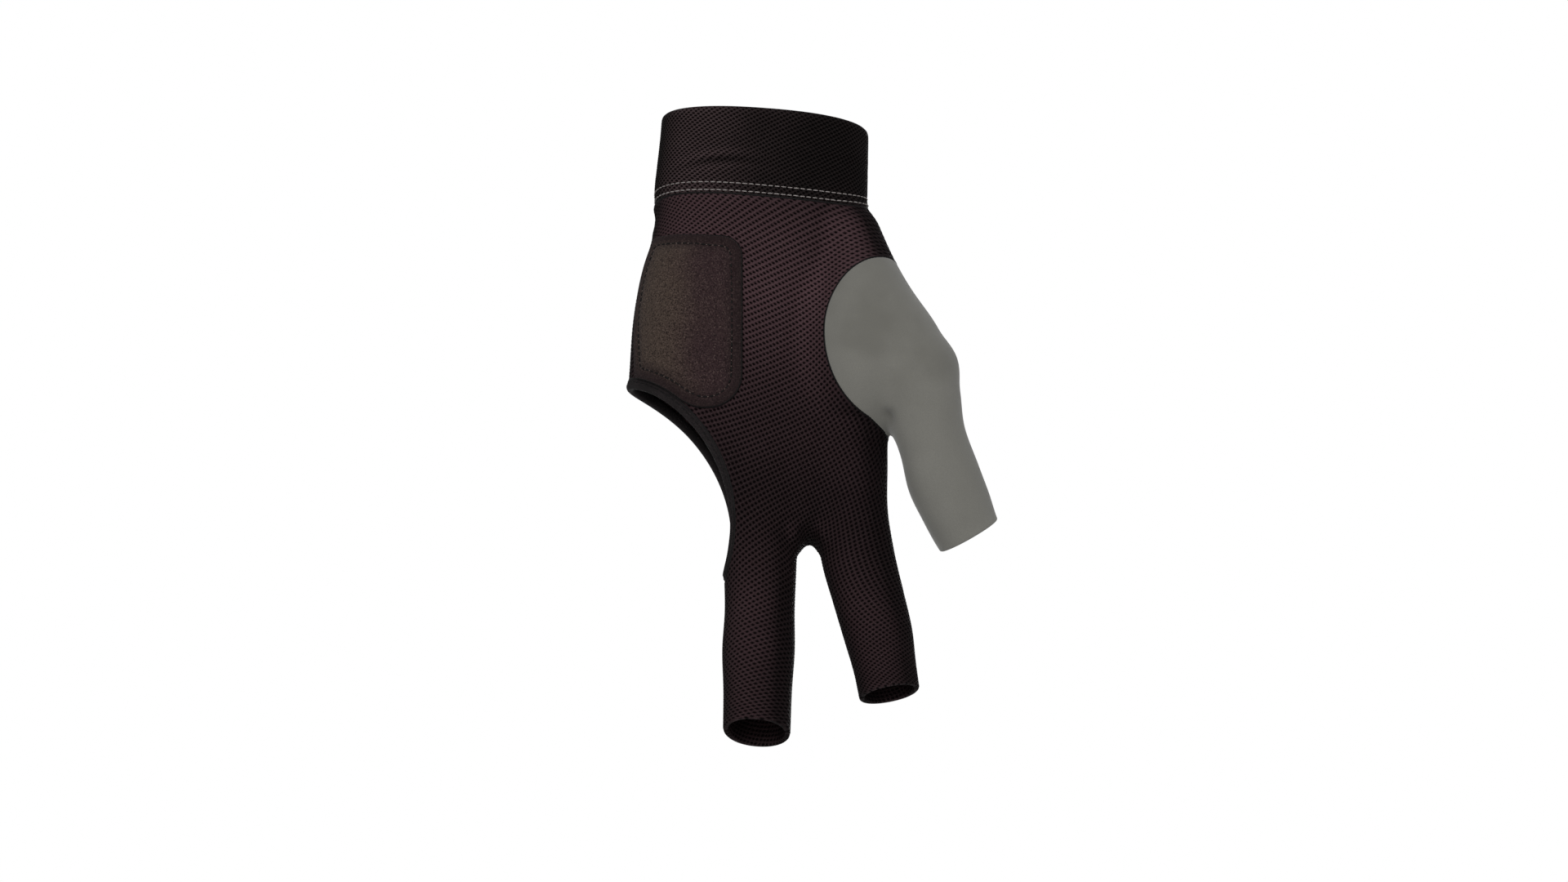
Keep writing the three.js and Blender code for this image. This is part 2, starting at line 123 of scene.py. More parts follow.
ROOT = table(SECTION, [
    (-18.0, -4.5, -96, 9.5, 11.0, 13.0),
    (-20.6, -6.5, -118, 9.2, 10.4, 12.0),
    (-23.6, -9.0, -134, 9.2, 9.6, 10.2),
    (-26.0, -12.0, -146, 9.2, 9.2, 9.4),
])

# %% Full places of the form
# Each is an ellipsoid: the x, y and z of its centre, then its three radii.
MOUNDS = {
    "under the lobe": (28.0, -9.5, -68, 14.0, 15.0, 25.0),
    "heel": (-22.0, -6.0, -64, 12.0, 12.5, 26.0),
    "where the sleeves begin": (2.0, 1.6, -104, 30.0, 9.6, 16.0),
}
SMALL_MOUNDS = {
    "fork of the sleeves, middle side": (8.8, -7.5, -124.2, 2.4, 7.5, 4.0),
    "fork of the sleeves, index side": (16.6, -7.5, -124.2, 1.8, 7.5, 3.4),
    "outer side of the thumb": (45.4, -12.5, -76.0, 10.2, 11.0, 9.5),
}
print("Full places:", ", ".join([*MOUNDS, *SMALL_MOUNDS]))

# %% A smooth curve through values
NEARLY_ZERO = 1e-9


def curve(stations, values):
    """A smooth curve through values at rising or falling stations."""
    way = np.sign(stations[-1] - stations[0])
    s = stations * way
    rise = np.diff(values) / np.diff(s)
    slopes = np.concatenate([rise[:1], (rise[:-1] + rise[1:]) / 2, rise[-1:]])

    def at(t):
        t = np.asarray(t) * way
        i = np.clip(np.searchsorted(s, t, side="right") - 1, 0, len(s) - 2)
        span = s[i + 1] - s[i]
        w = np.clip((t - s[i]) / span, 0, 1)
        ends = (1 + 2 * w) * (1 - w) ** 2 * values[i] + w * w * (3 - 2 * w) * values[i + 1]
        return ends + span * w * (1 - w) * ((1 - w) * slopes[i] - w * slopes[i + 1])

    return at


# %% Limbs, full places and their joins
def limb(rows, square):
    """About the distance to one rounded limb, below zero inside it. The section is an ellipse at
    a square of 2, and a higher square makes it boxier."""
    centres = np.stack([rows["x"], rows["y"], rows["z"]], -1)
    axis = centres[-1] - centres[0]
    axis /= np.linalg.norm(axis)
    side = np.cross(axis, (0, 1, 0))
    side /= np.linalg.norm(side)
    depth = np.cross(side, axis)
    rel = centres - centres[0]
    stations = rel @ axis
    wide_at, front_at, back_at = (curve(stations, rows[name]) for name in ("wide", "front", "back"))
    side_at, depth_at = curve(stations, rel @ side), curve(stations, rel @ depth)

    def at(p):
        q = p - centres[0]
        t = q @ axis
        u = q @ side - side_at(t)
        v = q @ depth - depth_at(t)
        wide = wide_at(t)
        high = np.where(v < 0, front_at(t), back_at(t))
        end = np.minimum(wide, high)
        over = np.maximum(np.maximum(-t, t - stations[-1]), 0)
        radii = np.stack([wide, high, end])
        share = np.stack([np.abs(u), np.abs(v), over]) / radii
        reach = np.maximum((share ** square).sum(0) ** (1 / square), NEARLY_ZERO)
        steep = np.sqrt(((share ** (square - 1) / radii) ** 2).sum(0)) * reach ** (1 - square)
        return (reach - 1) / np.maximum(steep, 1 / np.maximum(wide, high))

    return at


def mound(row):
    """About the distance to an ellipsoid."""
    centre, radii = np.array(row[:3], float), np.array(row[3:], float)

    def at(p):
        q = (p - centre) / radii
        reach = np.maximum(np.linalg.norm(q, axis=-1), NEARLY_ZERO)
        steep = np.linalg.norm(q / radii, axis=-1) / reach
        return (reach - 1) / np.maximum(steep, 1 / radii.max())

    return at


def blend(a, b, radius):
    """The join of two fields with a soft inner corner."""
    near = np.maximum(radius - np.abs(a - b), 0) / radius
    return np.minimum(a, b) - near * near * radius / 4


# %% The form as one field
TRUNK_SQUARE = 2.3
SLEEVE_SQUARE = 2.1
MOUND_BLEND = 8
THUMB_BLEND = 5
SLEEVE_BLEND = 3
SMALL_BLEND = 3

trunk = limb(TRUNK, TRUNK_SQUARE)
mounds = [mound(row) for row in MOUNDS.values()]
small_mounds = [mound(row) for row in SMALL_MOUNDS.values()]
thumb = limb(THUMB, SLEEVE_SQUARE)
sleeves = [limb(rows, SLEEVE_SQUARE) for rows in (ROOT, MIDDLE, INDEX)]


def form(p):
    """The glove's filled form: zero on its outer surface."""
    f = trunk(p)
    for full in mounds:
        f = blend(f, full(p), MOUND_BLEND)
    f = blend(f, thumb(p), THUMB_BLEND)
    for sleeve in sleeves:
        f = blend(f, sleeve(p), SLEEVE_BLEND)
    for full in small_mounds:
        f = blend(f, full(p), SMALL_BLEND)
    return f


# %% Reading a field
SLOPE_STEP = 0.05
FACING_STEP = 0.8


def slope(field, p, step=SLOPE_STEP):
    """The direction in which a field rises at each point, and how fast."""
    return np.stack([(field(p + e) - field(p - e)) / (2 * step) for e in np.eye(3) * step], -1)


def unit(v):
    """The same directions, each of length one."""
    return v / np.maximum(np.linalg.norm(v, axis=-1, keepdims=True), NEARLY_ZERO)


def facing_at(p):
    """The way the cloth faces, read over a step wide enough to pass over small unevenness."""
    return unit(slope(form, p, FACING_STEP))


def settle(p):
    """Moves points straight onto the form's surface."""
    way = slope(form, p)
    return p - way * (form(p) / np.maximum((way * way).sum(-1), NEARLY_ZERO))[:, None]


palm_middle = settle(np.array([(0.0, -15.0, -60.0)]))
print("Middle of the palm:", palm_middle.round(1), "facing", facing_at(palm_middle).round(2))

# %% [markdown]
# ## The borders
# Seams and openings are where two fields are zero at once: the form's, and one that says on which
# side of the seam a point lies. Keeping a seam as a field means that any sheet can be cut along it
# exactly, and that a row of stitches a few millimetres beside it is the same field with a number
# added. The names say which side is below zero.

# %% Sizes of the borders
MOUTH = {"level": 0, "roll": -0.076, "tilt": 0.008, "twist": 0}
CUFF_SEAM = {"level": -24.8, "roll": -0.018, "tilt": 0.075, "twist": 0.0038}
# Circles in the XZ plane: centre x, centre z, radius.
OPENING = (-54.8, -122.7, 45.2)
BINDING_LINE = (-54.8, -121.05, 46.6)
SIDE_SEAM = table("z y", [
    (20, 0),
    (-36, -0.3),
    (-78, -2.0),
    (-96, -3.2),
    (-119, -6.4),
    (-133, -9.3),
    (-146, -12.6),
    (-158, -16.4),
    (-170, -20.2),
    (-200, -29.5),
])
# The open ends of the sleeves: a point, and the way past the end.
MIDDLE_END = ((-1.8, -27.3, -181.1), (-0.083, -0.355, -0.931))
INDEX_END = ((35.7, -21.8, -170.3), (0.185, -0.155, -0.97))
THUMB_END = ((58.6, -12.3, -124.7), (0.499, 0.251, -0.829))
INDEX_FROM_X = 17

# %% Borders of the panels
def flip(border):
    """The same border with its other side below zero."""
    return lambda p: -border(p)


def ring_height(ring, x, y):
    """How high a slanted ring round the wrist lies at a place."""
    return ring["level"] + ring["roll"] * x + ring["tilt"] * y + ring["twist"] * x * y


def below(ring):
    """Below a ring round the wrist."""
    return lambda p: p[:, 2] - ring_height(ring, p[:, 0], p[:, 1])


def clear_of(circle, more=0.0):
    """Outside a circle, by more than a given distance."""
    x, z, radius = circle
    return lambda p: radius + more - np.hypot(p[:, 0] - x, p[:, 2] - z)


def before(end):
    """Short of the end of a sleeve."""
    at, past = np.array(end[0]), np.array(end[1])
    return lambda p: (p - at) @ past


seam_forward = curve(SIDE_SEAM["z"], SIDE_SEAM["y"])
below_mouth = below(MOUTH)
below_cuff = below(CUFF_SEAM)
clear_of_opening = clear_of(OPENING)
clear_of_binding = clear_of(BINDING_LINE)
before_middle_end = before(MIDDLE_END)
before_thumb_end = before(THUMB_END)


def before_index_end(p):
    """Short of the index sleeve's end. All that is left of the sleeve counts as short of it."""
    return np.minimum(before(INDEX_END)(p), p[:, 0] - INDEX_FROM_X)


def palm_side(p):
    """In front of the side seams."""
    return p[:, 1] - seam_forward(p[:, 2])


print("The palm's middle is", round(float(-palm_side(palm_middle)[0]), 1), "mm in front of the side seams")

# %% Outlines in the XZ plane
ARC_STEPS = 24
QUARTER = math.pi / 2


def arc(x, z, wide, tall, start, stop):
    """Points on a stretch of an ellipse."""
    a = np.linspace(start, stop, ARC_STEPS + 1)
    return np.stack([x + wide * np.cos(a), z + tall * np.sin(a)], -1)


def within(corners):
    """The signed distance to a closed outline, below zero inside it."""
    a = np.concatenate([np.atleast_2d(part) for part in corners])
    b = np.roll(a, -1, 0)
    edge = b - a

    def at(p):
        q = p[:, None, ::2] - a
        share = np.clip((q * edge).sum(-1) / np.maximum((edge * edge).sum(-1), NEARLY_ZERO), 0, 1)
        least = np.linalg.norm(q - share[..., None] * edge, axis=-1).min(1)
        x, z = p[:, None, 0], p[:, None, 2]
        rise = np.where(np.abs(edge[:, 1]) < NEARLY_ZERO, 1, edge[:, 1])
        left = x < a[:, 0] + edge[:, 0] * (z - a[:, 1]) / rise
        crosses = ((a[:, 1] > z) != (b[:, 1] > z)) & left
        return np.where(crosses.sum(1) % 2 == 1, -least, least)

    return at


# %% The thumb panel's outline
LOBE = {"x": 36.5, "z": -66.5, "wide": 19.4, "up": 22.6, "down": 26, "leave": 1.39 * math.pi}
CROTCH = (36.4, -95.9)
BETWEEN_SLEEVES = (49, -140)
THUMB_FAR = {"x": 95, "low": -140, "high": -49}

on_thumb = within([
    (THUMB_FAR["x"], THUMB_FAR["high"]),
    arc(LOBE["x"], LOBE["z"], LOBE["wide"], LOBE["up"], QUARTER, math.pi),
    arc(LOBE["x"], LOBE["z"], LOBE["wide"], LOBE["down"], math.pi, LOBE["leave"])[1:],
    CROTCH,
    BETWEEN_SLEEVES,
    (THUMB_FAR["x"], THUMB_FAR["low"]),
])
print("The lobe is", 2 * LOBE["wide"], "mm wide and", LOBE["up"] + LOBE["down"], "mm tall")

# %% The patch's outline
PATCH = {
    "left": -50,
    "right": -6.4,
    "high": -37.8,
    "low": -88.1,
    "corner_high": 6,
    "corner_low": 9.6,
    "slant": 2.9,
}
PATCH_FROM_OPENING = 3.2
PATCH_BLEND = 3

low_round, high_round = PATCH["corner_low"], PATCH["corner_high"]
low_centre = (PATCH["right"] - low_round, PATCH["low"] + low_round)
high_centre = (PATCH["right"] - high_round, PATCH["high"] - high_round)
in_patch_outline = within([
    (PATCH["left"], PATCH["low"]),
    arc(*low_centre, low_round, low_round, -QUARTER, 0),
    arc(*high_centre, high_round, high_round, 0, QUARTER),
    (PATCH["left"], PATCH["high"] + PATCH["slant"]),
])
clear_for_patch = clear_of(OPENING, PATCH_FROM_OPENING)


def on_patch(p):
    """Inside the patch's outline and clear of the binding, with a soft corner between them."""
    return -blend(-in_patch_outline(p), -clear_for_patch(p), PATCH_BLEND)


print("The patch is", round(PATCH["high"] - PATCH["low"], 1), "mm tall")

# %% [markdown]
# ## Reading the surface
# The form's surface is read on a grid: each cell that the surface crosses gets one point, and each
# grid edge that it crosses gets one four-sided face. Blender could make such a surface with a
# voxel remesh, but then the field is lost, and with it the exact seams. The points are spread
# evenly and put back on the surface, and one round of halving gives faces about a millimetre wide.

# %% Surface net
GRID = 2.0
GRID_LOW = np.array((-46.0, -42.0, -200.0))
GRID_HIGH = np.array((78.0, 30.0, 22.0))
AXES = (0, 1, 2)


def surface_net(field):
    """Points and four-sided faces, turning left seen from outside."""
    count = np.ceil((GRID_HIGH - GRID_LOW) / GRID).astype(int) + 1
    lines = [GRID_LOW[a] + GRID * np.arange(count[a]) for a in AXES]
    place = np.stack(np.meshgrid(*lines, indexing="ij"), -1)
    value = field(place.reshape(-1, 3)).reshape(count)
    inside = value < 0
    cells = count - 1
    total = np.zeros((*cells, 3))
    hits = np.zeros(cells)
    crossed = []
    for a in AXES:
        low = tuple(slice(0, -1) if axis == a else slice(None) for axis in AXES)
        high = tuple(slice(1, None) if axis == a else slice(None) for axis in AXES)
        cross = inside[low] != inside[high]
        crossed.append((cross, inside[low]))
        share = np.where(cross, value[low] / np.where(cross, value[low] - value[high], 1), 0)
        at = place[low] + share[..., None] * np.eye(3)[a] * GRID
        b, c = (a + 1) % 3, (a + 2) % 3
        for shift in ((0, 0), (0, 1), (1, 0), (1, 1)):
            window = [slice(None)] * 3
            window[b] = slice(shift[0], shift[0] + cells[b])
            window[c] = slice(shift[1], shift[1] + cells[c])
            window = tuple(window)
            total += np.where(cross[window][..., None], at[window], 0)
            hits += cross[window]
    index = -np.ones(cells, int)
    index[hits > 0] = np.arange((hits > 0).sum())
    points = total[hits > 0] / hits[hits > 0][:, None]
    quads = []
    for a, (cross, starts_inside) in enumerate(crossed):
        b, c = (a + 1) % 3, (a + 2) % 3
        at = np.argwhere(cross)
        at = at[(at[:, b] > 0) & (at[:, c] > 0) & (at[:, b] < cells[b]) & (at[:, c] < cells[c])]
        outward = starts_inside[tuple(at.T)]
        ring = []
        for shift in ((1, 1), (0, 1), (0, 0), (1, 0)):
            cell = at.copy()
            cell[:, b] -= shift[0]
            cell[:, c] -= shift[1]
            ring.append(index[tuple(cell.T)])
        quad = np.stack(ring, -1)
        quad[~outward] = quad[~outward][:, ::-1]
        quads.append(quad)
    return points, np.concatenate(quads)


net_points, net_quads = surface_net(form)
print("Surface read:", len(net_quads), "faces")

# %% Even and smaller faces
EVEN_ROUNDS = 4
EVEN_PULL = 0.5


def even_out(points, quads):
    """Spreads the points over the surface and keeps them on it."""
    ends = np.concatenate([quads[:, [i, (i + 1) % 4]] for i in range(4)])
    company = np.bincount(ends.ravel(), minlength=len(points))[:, None]
    points = settle(points)
    for _ in range(EVEN_ROUNDS):
        total = np.zeros_like(points)
        np.add.at(total, ends[:, 0], points[ends[:, 1]])
        np.add.at(total, ends[:, 1], points[ends[:, 0]])
        points = settle(points + (total / np.maximum(company, 1) - points) * EVEN_PULL)
    return points


def halved(points, quads):
    """Each four-sided face becomes four, with the new points on the surface."""
    ends = np.sort(np.concatenate([quads[:, [i, (i + 1) % 4]] for i in range(4)]), 1)
    edges, which = np.unique(ends, axis=0, return_inverse=True)
    middle = which.reshape(4, -1).T + len(points)
    centre = np.arange(len(quads)) + len(points) + len(edges)
    made = np.concatenate([points, points[edges].mean(1), points[quads].mean(1)])
    parts = [np.stack([quads[:, i], middle[:, i], centre, middle[:, i - 1]], -1) for i in range(4)]
    return settle(made), np.concatenate(parts)


net_points = even_out(net_points, net_quads)
fine_points, fine_quads = halved(net_points, net_quads)
print("Faces after halving:", len(fine_quads))

# %% [markdown]
# ## Sheets of cloth
# A sheet is a set of points and triangles on the surface with a few values at each point: the way
# the cloth faces, how near the closest border is, and how round the cloth is at that border.
# Cutting a sheet along a field keeps one side. Where a triangle is crossed, the new points lie
# exactly on the border, so a seam comes out as one smooth line and not as a staircase.

# %% A sheet and its parts
FAR = 99.0


class Sheet:
    """Points and triangles on the form's surface, with named values at each point."""

    def __init__(self, points, faces, **values):
        self.points, self.faces, self.values = points, faces, values

    def copy(self):
        values = {name: value.copy() for name, value in self.values.items()}
        return Sheet(self.points.copy(), self.faces, **values)


def plain_sheet(points, quads):
    """A sheet from four-sided faces, each cut along its shorter diagonal."""
    a, b, c, d = quads.T
    one_way = np.linalg.norm(points[a] - points[c], axis=1)
    other_way = np.linalg.norm(points[b] - points[d], axis=1)
    first = (one_way < other_way)[:, None]
    one = np.where(first, quads[:, [0, 1, 2]], quads[:, [0, 1, 3]])
    two = np.where(first, quads[:, [0, 2, 3]], quads[:, [1, 2, 3]])
    near = np.full(len(points), FAR)
    faces = np.concatenate([one, two])
    return Sheet(points, faces, facing=facing_at(points), near=near, edge=np.zeros(len(points)))


def used(sheet, faces):
    """The sheet with only these faces and the points that they use."""
    keep = np.unique(faces)
    index = np.zeros(len(sheet.points), int)
    index[keep] = np.arange(len(keep))
    values = {name: value[keep] for name, value in sheet.values.items()}
    return Sheet(sheet.points[keep], index[faces], **values)


def largest(sheet):
    """The sheet's largest connected part."""
    label = np.arange(len(sheet.points))
    while True:
        least = label[sheet.faces].min(1)
        new = label.copy()
        np.minimum.at(new, sheet.faces.ravel(), np.repeat(least, 3))
        new = new[new]
        if (new == label).all():
            break
        label = new
    best = np.bincount(label[sheet.faces[:, 0]]).argmax()
    return used(sheet, sheet.faces[label[sheet.faces[:, 0]] == best])


# %% Cutting a sheet
LEAST_GAIN = 0.2
REACH = 4.0
ROUGH_TOUCH = 0.2


def way_onto(sheet, border, inset):
    """The signed distance to a border drawn in by inset, and the moves that lead onto it."""
    value = border(sheet.points)
    move = np.zeros_like(sheet.points)
    close = np.abs(value) < REACH
    facing = sheet.values["facing"][close]
    way = slope(border, sheet.points[close])
    way -= facing * (way * facing).sum(-1, keepdims=True)
    gain = np.maximum(np.linalg.norm(way, axis=-1), LEAST_GAIN)
    value[close] = value[close] / gain + inset
    move[close] = -way * (value[close] / gain)[:, None]
    return value, move


def split_faces(faces, value):
    """The parts of crossed faces that stay, and the pairs of points that each need a new point
    between them. New points are numbered on from the last old one."""
    made, pairs, parts = {}, [], []
    for face in faces.tolist():
        ring = []
        for i, a in enumerate(face):
            b = face[(i + 1) % 3]
            if value[a] <= 0:
                ring.append(a)
            if value[a] * value[b] < 0:
                pair = (min(a, b), max(a, b))
                if pair not in made:
                    made[pair] = len(value) + len(pairs)
                    pairs.append(pair)
                ring.append(made[pair])
        if len(ring) > 2:
            parts.append(ring[:3])
        if len(ring) > 3:
            parts.append([ring[0], ring[2], ring[3]])
    return parts, pairs


def cut(sheet, border, inset=0.0, edge=None, touch=ROUGH_TOUCH):
    """The part of the sheet inside a border, drawn in by inset. Points within touch of the
    border are moved onto it. With an edge radius, the border is noted as the cloth's own edge."""
    sheet = sheet.copy()
    value, move = way_onto(sheet, border, inset)
    if edge is not None:
        sheet.values["near"] = np.minimum(sheet.values["near"], np.maximum(-value, 0))
    close = np.abs(value) < touch
    sheet.points[close] = settle(sheet.points[close] + move[close])
    value[close] = 0
    corner = value[sheet.faces]
    whole = (corner <= 0).all(1) & ~(corner >= 0).all(1)
    split = (corner < 0).any(1) & (corner > 0).any(1)
    faces, pairs = split_faces(sheet.faces[split], value)
    if pairs:
        a, b = np.array(pairs).T
        share = (value[a] / (value[a] - value[b]))[:, None]
        mix = lambda v: v[a] + (v[b] - v[a]) * (share if v.ndim > 1 else share[:, 0])
        sheet.points = np.concatenate([sheet.points, settle(mix(sheet.points))])
        sheet.values = {n: np.concatenate([v, mix(v)]) for n, v in sheet.values.items()}
        close = np.concatenate([close, np.ones(len(pairs), bool)])
    if edge is not None:
        sheet.values["near"][close] = 0
        sheet.values["edge"][close] = edge
    both = [sheet.faces[whole]] + ([np.array(faces)] if faces else [])
    return used(sheet, np.concatenate(both))


# %% Open edges, and the whole surface as two sheets
PAST_MOUTH = 4.0


def loops(faces, size):
    """The open edges of a sheet as closed rings of points, each turning the way its faces do."""
    ends = np.concatenate([faces[:, [i, (i + 1) % 3]] for i in range(3)])
    key, back = ends[:, 0] * size + ends[:, 1], ends[:, 1] * size + ends[:, 0]
    open_ends = ends[~np.isin(key, back)]
    after = dict(open_ends.tolist())
    rings = []
    while after:
        start, at = next(iter(after.items()))
        ring = [start]
        del after[start]
        while at != start:
            ring.append(at)
            at = after.pop(at)
        rings.append(np.array(ring))
    return rings


fine = cut(plain_sheet(fine_points, fine_quads), below_mouth, -PAST_MOUTH)
coarse = cut(plain_sheet(net_points, net_quads), below_mouth, -PAST_MOUTH)
print("Whole surface:", len(fine.faces), "triangles")

# %% [markdown]
# ## A wall of cloth
# Real cloth has a thickness, and its edge at a seam is rolled inwards, which is what draws the
# dark line between two panels. Solidify gives a square edge with an even offset. Here the outer
# layer stops short of the border, a quarter round leads down to the side wall, and another one
# leads to the inner layer. The inner layer can have fewer points than the outer one, because a
# zip of triangles joins two rings of any number of points.

# %% The rolled edge and the zip
ROLL_STEPS = 3
ROUND_SHARE = 0.46


def edge_profile(radius, top, depth):
    """Steps round the edge from the top to the inner layer: how far past the sheet, how high."""
    turn = np.linspace(0, math.pi / 2, ROLL_STEPS + 1)
    roll = np.minimum(radius, ROUND_SHARE * (top + depth))
    upper = [(radius * math.sin(a), top - roll * (1 - math.cos(a))) for a in turn[1:]]
    lower = [(radius * math.cos(a), roll * (1 - math.sin(a)) - depth) for a in turn]
    return upper + lower


def zip_rings(first, second, points):
    """Triangles between two rings of points that run the same way."""
    start = np.linalg.norm(points[second] - points[first[0]], axis=1).argmin()
    second = np.roll(second, -start)
    one, two = np.append(first, first[0]).tolist(), np.append(second, second[0]).tolist()
    place = points.tolist()
    faces, i, j = [], 0, 0
    while i < len(first) or j < len(second):
        if i == len(first):
            step_first = False
        elif j == len(second):
            step_first = True
        else:
            along_first = math.dist(place[one[i + 1]], place[two[j]])
            along_second = math.dist(place[one[i]], place[two[j + 1]])
            step_first = along_first < along_second
        if step_first:
            faces.append((one[i + 1], one[i], two[j]))
            i += 1
        else:
            faces.append((one[i], two[j], two[j + 1]))
            j += 1
    return faces


# %% Building a closed wall
TANGENT_REACH = 2


def wall(outer, inner, out, depth, relief=0.0):
    """A closed wall: the outer sheet raised by out plus its relief, its rolled edges, and the
    inner sheet set depth below the surface."""
    facing = outer.values["facing"]
    height = (out + relief) * np.ones(len(facing))
    points = [outer.points + facing * height[:, None]]
    faces = [outer.faces]
    size = len(outer.points)
    ends = []
    for ring in loops(outer.faces, size):
        at, up = outer.points[ring], facing[ring]
        along = np.roll(at, -TANGENT_REACH, 0) - np.roll(at, TANGENT_REACH, 0)
        away = unit(np.cross(along, up))
        last = ring
        for past, high in edge_profile(outer.values["edge"][ring], height[ring], depth):
            points.append(at + away * past[:, None] + up * high[:, None])
            new = np.arange(size, size + len(ring))
            size += len(ring)
            a, b, c, d = last, np.roll(last, -1), new, np.roll(new, -1)
            faces += [np.stack([b, a, c], -1), np.stack([b, c, d], -1)]
            last = new
        ends.append(last)
    points.append(inner.points - inner.values["facing"] * depth)
    faces.append(inner.faces[:, ::-1] + size)
    points = np.concatenate(points)
    for ring in loops(inner.faces, len(inner.points)):
        ring = ring + size
        away = [np.linalg.norm(points[end].mean(0) - points[ring].mean(0)) for end in ends]
        faces.append(np.array(zip_rings(ends[int(np.argmin(away))], ring, points)))
    return points, np.concatenate(faces)


# %% From points to a piece of the glove
def new_piece(name, points, faces, uv=None):
    """A mesh object with its place in its mesh, in metres, with smooth shading."""
    mesh = bpy.data.meshes.new(name)
    mesh.vertices.add(len(points))
    mesh.vertices.foreach_set("co", (points * MM).astype(np.float32).ravel())
    mesh.loops.add(faces.size)
    mesh.loops.foreach_set("vertex_index", faces.ravel().astype(np.int32))
    mesh.polygons.add(len(faces))
    mesh.polygons.foreach_set("loop_start", np.arange(len(faces), dtype=np.int32) * faces.shape[1])
    mesh.update(calc_edges=True)
    mesh.polygons.foreach_set("use_smooth", np.ones(len(faces), bool))
    if uv is not None:
        layer = mesh.uv_layers.new(name="knit")
        layer.data.foreach_set("uv", uv.astype(np.float32).ravel())
    mesh.validate()
    piece = bpy.data.objects.new(name, mesh)
    bpy.context.collection.objects.link(piece)
    return piece


def mark(piece, name, values):
    """A number at each of the piece's points, which its material reads."""
    layer = piece.data.attributes.new(name, "FLOAT", "POINT")
    layer.data.foreach_set("value", values.astype(np.float32))


def dress(piece, node, material):
    """The piece rides on the glove, stands for its CAD node and takes its finish."""
    piece.data.materials.append(material)
    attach(piece, "root")
    if node:
        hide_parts(node)
    print(piece.name, "has", len(piece.data.polygons), "faces")


# %% [markdown]
# ## Materials
# All the cloths share two effects, so both are node groups. One gives the fine fuzz of fibres: a
# grain in object space, in millimetres. The other turns the knit's phases into holes. A phase is
# a coordinate that grows by one from each row of holes to the next. The cosines of both phases,
# of their sum and of their difference all peak at a hole, so their sum is a smooth pattern of
# holes that follows the cloth however it is strained.

# %% Node helpers
def new_group(name, inputs, outputs):
    """A shader node group with named sockets: name, kind and default."""
    group = bpy.data.node_groups.new(name, "ShaderNodeTree")
    for label, kind, value in inputs:
        socket = group.interface.new_socket(label, in_out="INPUT", socket_type=kind)
        if value is not None:
            socket.default_value = value
    for label, kind in outputs:
        group.interface.new_socket(label, in_out="OUTPUT", socket_type=kind)
    return group, group.nodes.new("NodeGroupInput"), group.nodes.new("NodeGroupOutput")


def feed(tree, socket, value):
    """Links a socket to another node's, or sets it to a plain value."""
    if isinstance(value, bpy.types.NodeSocket):
        tree.links.new(value, socket)
    else:
        socket.default_value = value


def node(tree, kind, settings=None, **inputs):
    """A node with its settings. An input is given by its name, or by i and its number."""
    made = tree.nodes.new(kind)
    for key, value in (settings or {}).items():
        setattr(made, key, value)
    for key, value in inputs.items():
        by_number = key[1:].isdigit()
        socket = made.inputs[int(key[1:]) if by_number else key.replace("_", " ")]
        feed(tree, socket, value)
    return made


def maths(tree, operation, *values):
    """The outcome of one sum."""
    inputs = {f"i{i}": value for i, value in enumerate(values)}
    return node(tree, "ShaderNodeMath", {"operation": operation}, **inputs).outputs[0]


def blend_colours(tree, share, first, second):
    """From the first colour at a share of 0 to the second at 1."""
    made = node(tree, "ShaderNodeMix", {"data_type": "RGBA"}, i0=share, i6=first, i7=second)
    return made.outputs[2]


def step_between(tree, value, low, high, out_low=0.0, out_high=1.0):
    """A smooth step from out_low to out_high as the value goes from low to high."""
    ends = {"From_Min": low, "From_Max": high, "To_Min": out_low, "To_Max": out_high}
    smooth = {"interpolation_type": "SMOOTHSTEP"}
    return node(tree, "ShaderNodeMapRange", smooth, Value=value, **ends).outputs["Result"]


def srgb(red, green, blue):
    """A colour from its 0 to 255 values."""
    shown = Color((red / 255, green / 255, blue / 255))
    return (*shown.from_srgb_to_scene_linear(), 1)


# %% Fibre group
def fibre_group():
    """Fuzz of fibres: a fine value for the bump, and a cloudy one for the colour."""
    group, given, out = new_group(
        "cloth_fibre",
        [("Fibres per mm", "NodeSocketFloat", 3.0), ("Cloud per mm", "NodeSocketFloat", 0.08)],
        [("Fuzz", "NodeSocketFloat"), ("Cloud", "NodeSocketFloat")],
    )
    place = node(group, "ShaderNodeTexCoord").outputs["Object"]
    fine_scale = maths(group, "DIVIDE", given.outputs["Fibres per mm"], MM)
    cloud_scale = maths(group, "DIVIDE", given.outputs["Cloud per mm"], MM)
    fuzz = node(group, "ShaderNodeTexNoise", Vector=place, Scale=fine_scale, Detail=3.0, Roughness=0.65)
    cloud = node(group, "ShaderNodeTexNoise", Vector=place, Scale=cloud_scale, Detail=2.0, Roughness=0.5)
    group.links.new(fuzz.outputs["Fac"], out.inputs["Fuzz"])
    group.links.new(cloud.outputs["Fac"], out.inputs["Cloud"])
    return group


# %% Knit group
STRAND = {"side": 0.7, "top": -1.1, "wander": 12.0, "thread": 0.2, "hole": -0.3}


